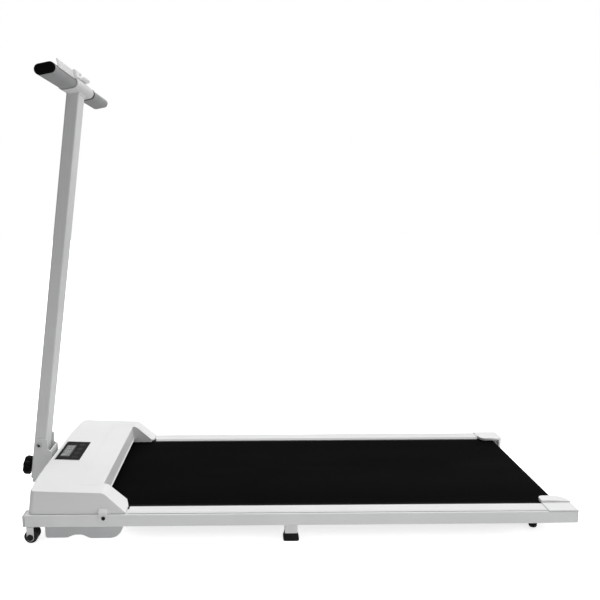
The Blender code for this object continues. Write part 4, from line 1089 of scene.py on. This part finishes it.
# ---------------------------------------------------------------- wheels and feet
def wheels():
    """Grooved transport wheels, their forks, and a bolt with a hexagonal nut through each."""
    for name, side in SIDES.items():
        low, high = local_box(name + "_transport_wheel")
        centre = (low + high) / 2
        radius = (high.z - low.z) / 2
        half = (high.y - low.y) / 2
        disc = []
        for end in (1, -1):
            rim = [(0.0062, half - 0.0012), (0.0100, half - 0.0012), (0.0104, half), (0.0122, half)]
            rim += [(radius - 0.0015 + 0.0015 * math.sin(a), half - 0.0015 + 0.0015 * math.cos(a))
                    for a in (math.radians(22.5 * step) for step in range(5))]
            rim += [(radius, 0.0056), (radius - 0.0004, 0.0050), (0.0114, 0.0034), (0.0112, 0.0028)]
            disc += [(r, end * h) for r, h in (rim if end > 0 else reversed(rim))]
        profile = [(0.0034, half), (0.0062, half), *disc, (0.0062, -half), (0.0034, -half)]
        wheel = lathe(name + "_wheel", profile, 56, closed=True)
        turn(wheel, "Y", centre)
        piece(wheel, MACHINE, name + "_wheel", "black_plastic", name + "_transport_wheel")

        fork_low, fork_high = local_box(name + "_wheel_fork")
        top, foot = (fork_high.z, 0.0008), (fork_low.z, 0.0070)
        outline = rounded([(fork_low.x, *top), (fork_low.x, *foot), (fork_high.x, *foot),
                           (fork_high.x, *top)], 12)
        fork = prism(name + "_fork", outline, fork_low.y, fork_high.y, "Y")
        cut(fork, block("gap", (fork_low.x - 0.01, fork_low.y + 0.0020, fork_low.z - 0.01),
                        (fork_high.x + 0.01, fork_high.y - 0.0020, 0.0345)))
        fixed(soften(fork, 0.0005, 3, 40), "paint", name + "_wheel_fork")

        middle = (centre.x, side * 0.2410, centre.z)
        head = cross_screw(name + "_axle_bolt", 0.0068, 0.0188, 0.0216, 0.0030, -0.0178)
        nut = lathe("nut", [(0, -0.0176), (0.0052, -0.0176), (0.0052, -0.0208), (0.0045, -0.0215),
                            (0, -0.0215)], 6)
        add(head, nut)
        turn(head, "Y" if side > 0 else "-Y", middle)
        fixed(head, "black_steel", name + "_wheel_bolt")


def middle_feet():
    """Short legs under the rails, each with a ribbed rubber foot and a weld bead round its top."""
    leg_radius = 0.0025
    for name in SIDES:
        low, high = local_box(name + "_middle_foot")
        leg_low, leg_high = local_box(name + "_middle_leg")
        centre_x = (low.x + high.x) / 2
        half_x = (high.x - low.x) / 2
        middle_y = (low.y + high.y) / 2
        half_y = (high.y - low.y) / 2
        sections = []
        for z, grow in ((0.0, -0.0022), (0.0006, -0.0012), (0.0018, -0.0004), (0.0045, 0.0),
                        (0.0075, -0.0006), (0.0110, -0.0018), (0.0150, -0.0028), (0.0168, -0.0032),
                        (0.0175, -0.0037)):
            depth = half_y + max(grow, -0.0030) * 0.4 if z < 0.004 else half_y
            outline = rectangle(centre_x - half_x - grow, middle_y - depth,
                                centre_x + half_x + grow, middle_y + depth, 0.0024, 6)
            sections.append([(x, y, z) for x, y in outline])
        foot = loft(name + "_leg_foot", sections)
        for rib in range(3):
            z = 0.0050 + 0.0034 * rib
            cut(foot, block("groove", (centre_x - 0.03, middle_y - half_y - 0.01, z),
                            (centre_x + 0.03, middle_y - half_y + 0.0005, z + 0.0007)))
        fixed(foot, "rubber", name + "_middle_foot", sharp=40)

        ring = rectangle(leg_low.x, leg_low.y, leg_high.x, leg_high.y, leg_radius, 6)
        leg = prism(name + "_leg_tube", ring, leg_low.z, leg_high.z + 0.0002, "Z")
        fixed(soften(leg, 0.0005, 2, 50), "paint", name + "_middle_leg")
        points = [(x, y, leg_high.z - 0.0006) for x, y in ring]
        weld = bead(name + "_leg_weld", points, 0.0009, closed=True)
        fixed(weld, "weld")


def rear_feet():
    """Round stepped rubber feet on studs under the rear foot bar."""
    for name in SIDES:
        low, high = local_box(name + "_rear_foot")
        centre = (low + high) / 2
        foot = lathe(name + "_rear_pad", [
            (0, 0.0205), (0.0030, 0.0205), (0.0030, 0.0162), (0.0084, 0.0162), (0.0088, 0.0158),
            (0.0088, 0.0105), (0.0084, 0.0101), (0.0084, 0.0093), (0.0088, 0.0089),
            (0.0088, 0.0052), (0.0084, 0.0030), (0.0074, 0.0012), (0.0058, 0.0003),
            (0.0040, 0.0), (0, 0.0)], 48)
        turn(foot, "Z", (centre.x, centre.y, 0))
        fixed(foot, "rubber", name + "_rear_foot")


# ---------------------------------------------------------------- handle
POST_DEPTH = 0.0280
POST_HALF = 0.02775
POST_BOTTOM = -0.0819          # measured along the post from the pivot, as is KNOB_DROP
KNOB_DROP = 0.0641


def post():
    """The handle's box post, and the plug in its lower end."""
    half = POST_DEPTH / 2
    outline = rectangle(-half, -POST_HALF, half, POST_HALF, 0.0032, 8)
    tube = soften(prism("handle_post", outline, POST_BOTTOM, BAR_RISE - 0.0120, "Z"), 0.0005, 2, 50)
    piece(tube, HANDLE, "handle", "paint", "post_tube")
    plug = prism("post_foot_plug", outline, POST_BOTTOM - 0.0028, POST_BOTTOM - 0.0003, "Z")
    piece(soften(plug, 0.0009, 3, 50), HANDLE, "handle", "black_plastic", "post_end_plug")


def pivot_fasteners():
    """Socket-head pivot screw: bright domed head with a hex socket, plain shank."""
    bolt = lathe("pivot_screw", [
        (0, -0.0362), (0.0036, -0.0362), (0.0048, -0.0359), (0.0055, -0.0352), (0.0060, -0.0342),
        (0.0062, -0.0330), (0.0062, -0.0319), (0.0040, -0.0319), (0.0040, 0.0380), (0.0036, 0.0385),
        (0, 0.0385)], 40)
    cut(bolt, prism("hex", circle(0.0036, 6), -0.0400, -0.0336, "Z"))
    turn(bolt, "Y", (0, 0, 0))
    piece(bolt, Matrix.Translation(PIVOT), "treadmill", "zinc", "pivot_bolt")
    socket = turn(prism("socket_shade", circle(0.0034, 6), -0.0345, -0.0337, "Z"), "Y")
    piece(socket, Matrix.Translation(PIVOT), "treadmill", "black_steel")


def knob():
    """Seven-lobed hand knob with a slightly domed face and waisted sides, on its hub."""
    lobes, points = 7, 168
    full = 0.0230
    face = -0.0380
    sections = []
    for back, share in ((0.0012, 0.40), (0.0004, 0.60), (0.0, 0.76), (0.0004, 0.86),
                        (0.0015, 0.935), (0.0032, 0.98), (0.0055, 1.0), (0.0100, 0.99),
                        (0.0145, 0.965), (0.0160, 0.93), (0.0168, 0.87), (0.0172, 0.50)):
        ring = []
        for index in range(points):
            angle = math.tau * index / points
            flute = 0.5 - 0.5 * math.cos(lobes * angle)
            radius = (full - 0.0036 * flute ** 1.6) * share
            ring.append((face + back, radius * math.cos(angle), radius * math.sin(angle)))
        sections.append(ring)
    wheel = loft("hand_knob", sections)
    hub = turn(lathe("hub", [(0, -0.0143), (0.0100, -0.0143), (0.0110, -0.0150), (0.0118, -0.0220),
                             (0, -0.0220)], 40), "X")
    profile = ((0, -0.0004), (0.0070, -0.0004), (0.0080, 0.0002), (0.0084, 0.0010),
               (0.0084, 0.0030), (0, 0.0030))
    cap = turn(lathe("cap", [(radius, face + rise) for radius, rise in profile], 40), "X")
    add(wheel, hub, cap)
    piece(wheel, HANDLE @ Matrix.Translation((0, 0, -KNOB_DROP)), "knob", "knob",
          "lock_knob", sharp=50)


def bracket_welds():
    """Weld beads where the handle bracket meets the front crossmember."""
    low, high = local_box("handle_bracket")
    for name, y in (("left", low.y + 0.0135), ("right", high.y - 0.0135)):
        points = [(-0.0010, y, 0.0450 + 0.0012 * step) for step in range(13)]
        fixed(bead(name + "_bracket_weld", points, 0.0008), "weld")


def grips():
    """Foam grips with faint rings along them, a black collar at the inner end and an oval plug."""
    width, height, plug_height, ring_pitch, steps = 0.0410, 0.0215, 0.0208, 0.0110, 90
    for name, side in SIDES.items():
        low, high = sorted(abs(corner.y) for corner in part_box(name + "_grip"))
        stations = [(low, 0.0012), (low + 0.0006, 0.0003), (low + 0.0020, 0.0)]
        for step in range(1, steps):
            y = low + 0.0020 + (high - low - 0.0040) * step / steps
            ring = max(0.0, math.cos(math.tau * (y - low) / ring_pitch)) ** 3
            stations.append((y, 0.00010 * ring))
        stations += [(high - 0.0020, 0.0), (high - 0.0006, 0.0003), (high, 0.0010)]
        foam = oval_loft(name + "_foam_grip", stations, width, height, side=side)
        piece(foam, BAR, "handle", "grip", name + "_grip")

        end = high + 0.0003
        stations = ((end, 0.0), (end + 0.0016, 0.0), (end + 0.0025, 0.0004), (end + 0.0031, 0.0012),
                    (end + 0.0033, 0.0026))
        plug = oval_loft(name + "_bar_plug", stations, width, plug_height, side=side)
        ends = span_y(side, end + 0.0028, end + 0.006)
        dish = prism("dish", oval(0.0300, 0.0110, 12), *ends, "Y")
        piece(cut(plug, dish), BAR, "handle", "knob", name + "_grip_plug")

        inner = low - 0.0024
        reach, wide, tall = (0.0085, 0.0444, 0.0254) if side > 0 else (-0.0003, 0.0406, 0.0211)
        outer = low + reach
        stations = ((inner, 0.0003), (inner + 0.0003, 0.0), (outer - 0.0003, 0.0), (outer, 0.0003))
        collar = oval_loft(name + "_grip_collar", stations, wide, tall, side=side)
        piece(collar, BAR, "handle", "black_plastic")


def bar_cover():
    """White cover over the middle of the bar, with a socket that swallows the top of the post."""
    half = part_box("handlebar_cover")[1].y
    ends = ((0.0, 0.0022), (0.0005, 0.0009), (0.0016, 0.0002), (0.0035, 0.0))
    stations = [(along - half, shrink) for along, shrink in ends]
    stations += [(half - along, shrink) for along, shrink in reversed(ends)]
    cover = oval_loft("bar_cover", stations, 0.0445, 0.0255, 16)
    piece(cover, BAR, "handle", "white_plastic", "handlebar_cover")
    collar = prism("post_collar", rectangle(-0.0157, -0.0294, 0.0157, 0.0294, 0.0040, 8),
                   BAR_RISE - 0.0134, BAR_RISE - 0.0020, "Z")
    piece(soften(collar, 0.0007, 3, 50), HANDLE, "handle", "white_plastic")
    bar = prism("bar_core", oval(0.0360, 0.0170, 12), -0.2490, 0.2490, "Y")
    piece(bar, BAR, "handle", "paint", "handlebar_tube")


def device_rest():
    """Ledge for a phone or tablet along the rear of the bar: a low strip, a stop and a cradle."""
    shapes = []
    for name, x0, y0, z0, x1, y1, z1, radius in (
            ("phone_ledge", 0.0208, -0.2320, 0.0010, 0.0228, -0.1040, 0.0180, 0.0008),
            ("stop", 0.0208, -0.1060, 0.0020, 0.0290, -0.0825, 0.0195, 0.0030),
            ("saddle", 0.0020, -0.0840, 0.0131, 0.0288, -0.0520, 0.0200, 0.0030),
            ("bridge", 0.0022, -0.0560, 0.0133, 0.0195, -0.0160, 0.0192, 0.0024)):
        shape = prism(name, rectangle(x0, z0, x1, z1, radius, 6), y0, y1, "Y")
        shapes.append(soften(shape, min(0.0022, radius * 0.85), 4, 50))
    plan = rectangle(0.0024, -0.0190, 0.0270, 0.0430, 0.0105, 10)
    cradle = prism("cradle", plan, 0.0135, 0.0198, "Z")
    shapes.append(soften(cradle, 0.0024, 5, 50))
    shelf = add(shapes[0], *shapes[1:])
    piece(shelf, BAR, "handle", "clear_white", "device_rest")


# ---------------------------------------------------------------- CAD nodes that stay
WELD_REACH = 0.00001           # joins the CAD mesh's doubled corners
BEVEL_FROM = math.radians(40)  # edges sharper than this are rounded


def keep(nodes, look, width):
    """Give CAD nodes a finish, and round their edges by a modifier only."""
    for name in nodes:
        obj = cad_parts[name]
        weld = obj.modifiers.new("weld", "WELD")
        weld.merge_threshold = WELD_REACH
        bevel = obj.modifiers.new("soft_edges", "BEVEL")
        bevel.width = width
        bevel.segments = 2
        bevel.limit_method = "ANGLE"
        bevel.angle_limit = BEVEL_FROM
        obj.modifiers.new("even_shading", "WEIGHTED_NORMAL")
        obj.data.materials.clear()
        obj.data.materials.append(LOOKS[look])


def kept_nodes():
    """Finishes of the CAD nodes that stay: look, bevel width and nodes."""
    for look, width, nodes in (
            ("paint", 0.0005, "handle_bracket"),
            ("paint", 0.0006, "front_crossmember front_deck_support middle_deck_support"),
            ("paint", 0.0006, "rear_deck_support"),
            ("board", 0.0005, "running_deck"),
            ("steel", 0.0002, "front_roller rear_roller front_roller_axle rear_roller_axle"),
            ("steel", 0.0002, "motor_shaft lock_bolt"),
            ("zinc", 0.0003, "motor_bracket"),
            ("black_steel", 0.0003, "motor_housing rear_foot_bar pivot_nut"),
            ("rubber", 0.0001, "drive_belt"),
            ("aluminium", 0.0002, "heat_sink"),
            ("circuit", 0.0001, "control_board display_board"),
            ("black_plastic", 0.0003, "power_inlet power_switch")):
        keep(nodes.split(), look, width)


# ---------------------------------------------------------------- build
camera()
studio()
kept_nodes()
rails()
foot_strips()
end_caps()
belt()
pan()
hood()
display()
hood_screws()
wheels()
middle_feet()
rear_feet()
post()
pivot_fasteners()
knob()
bracket_welds()
grips()
bar_cover()
device_rest()
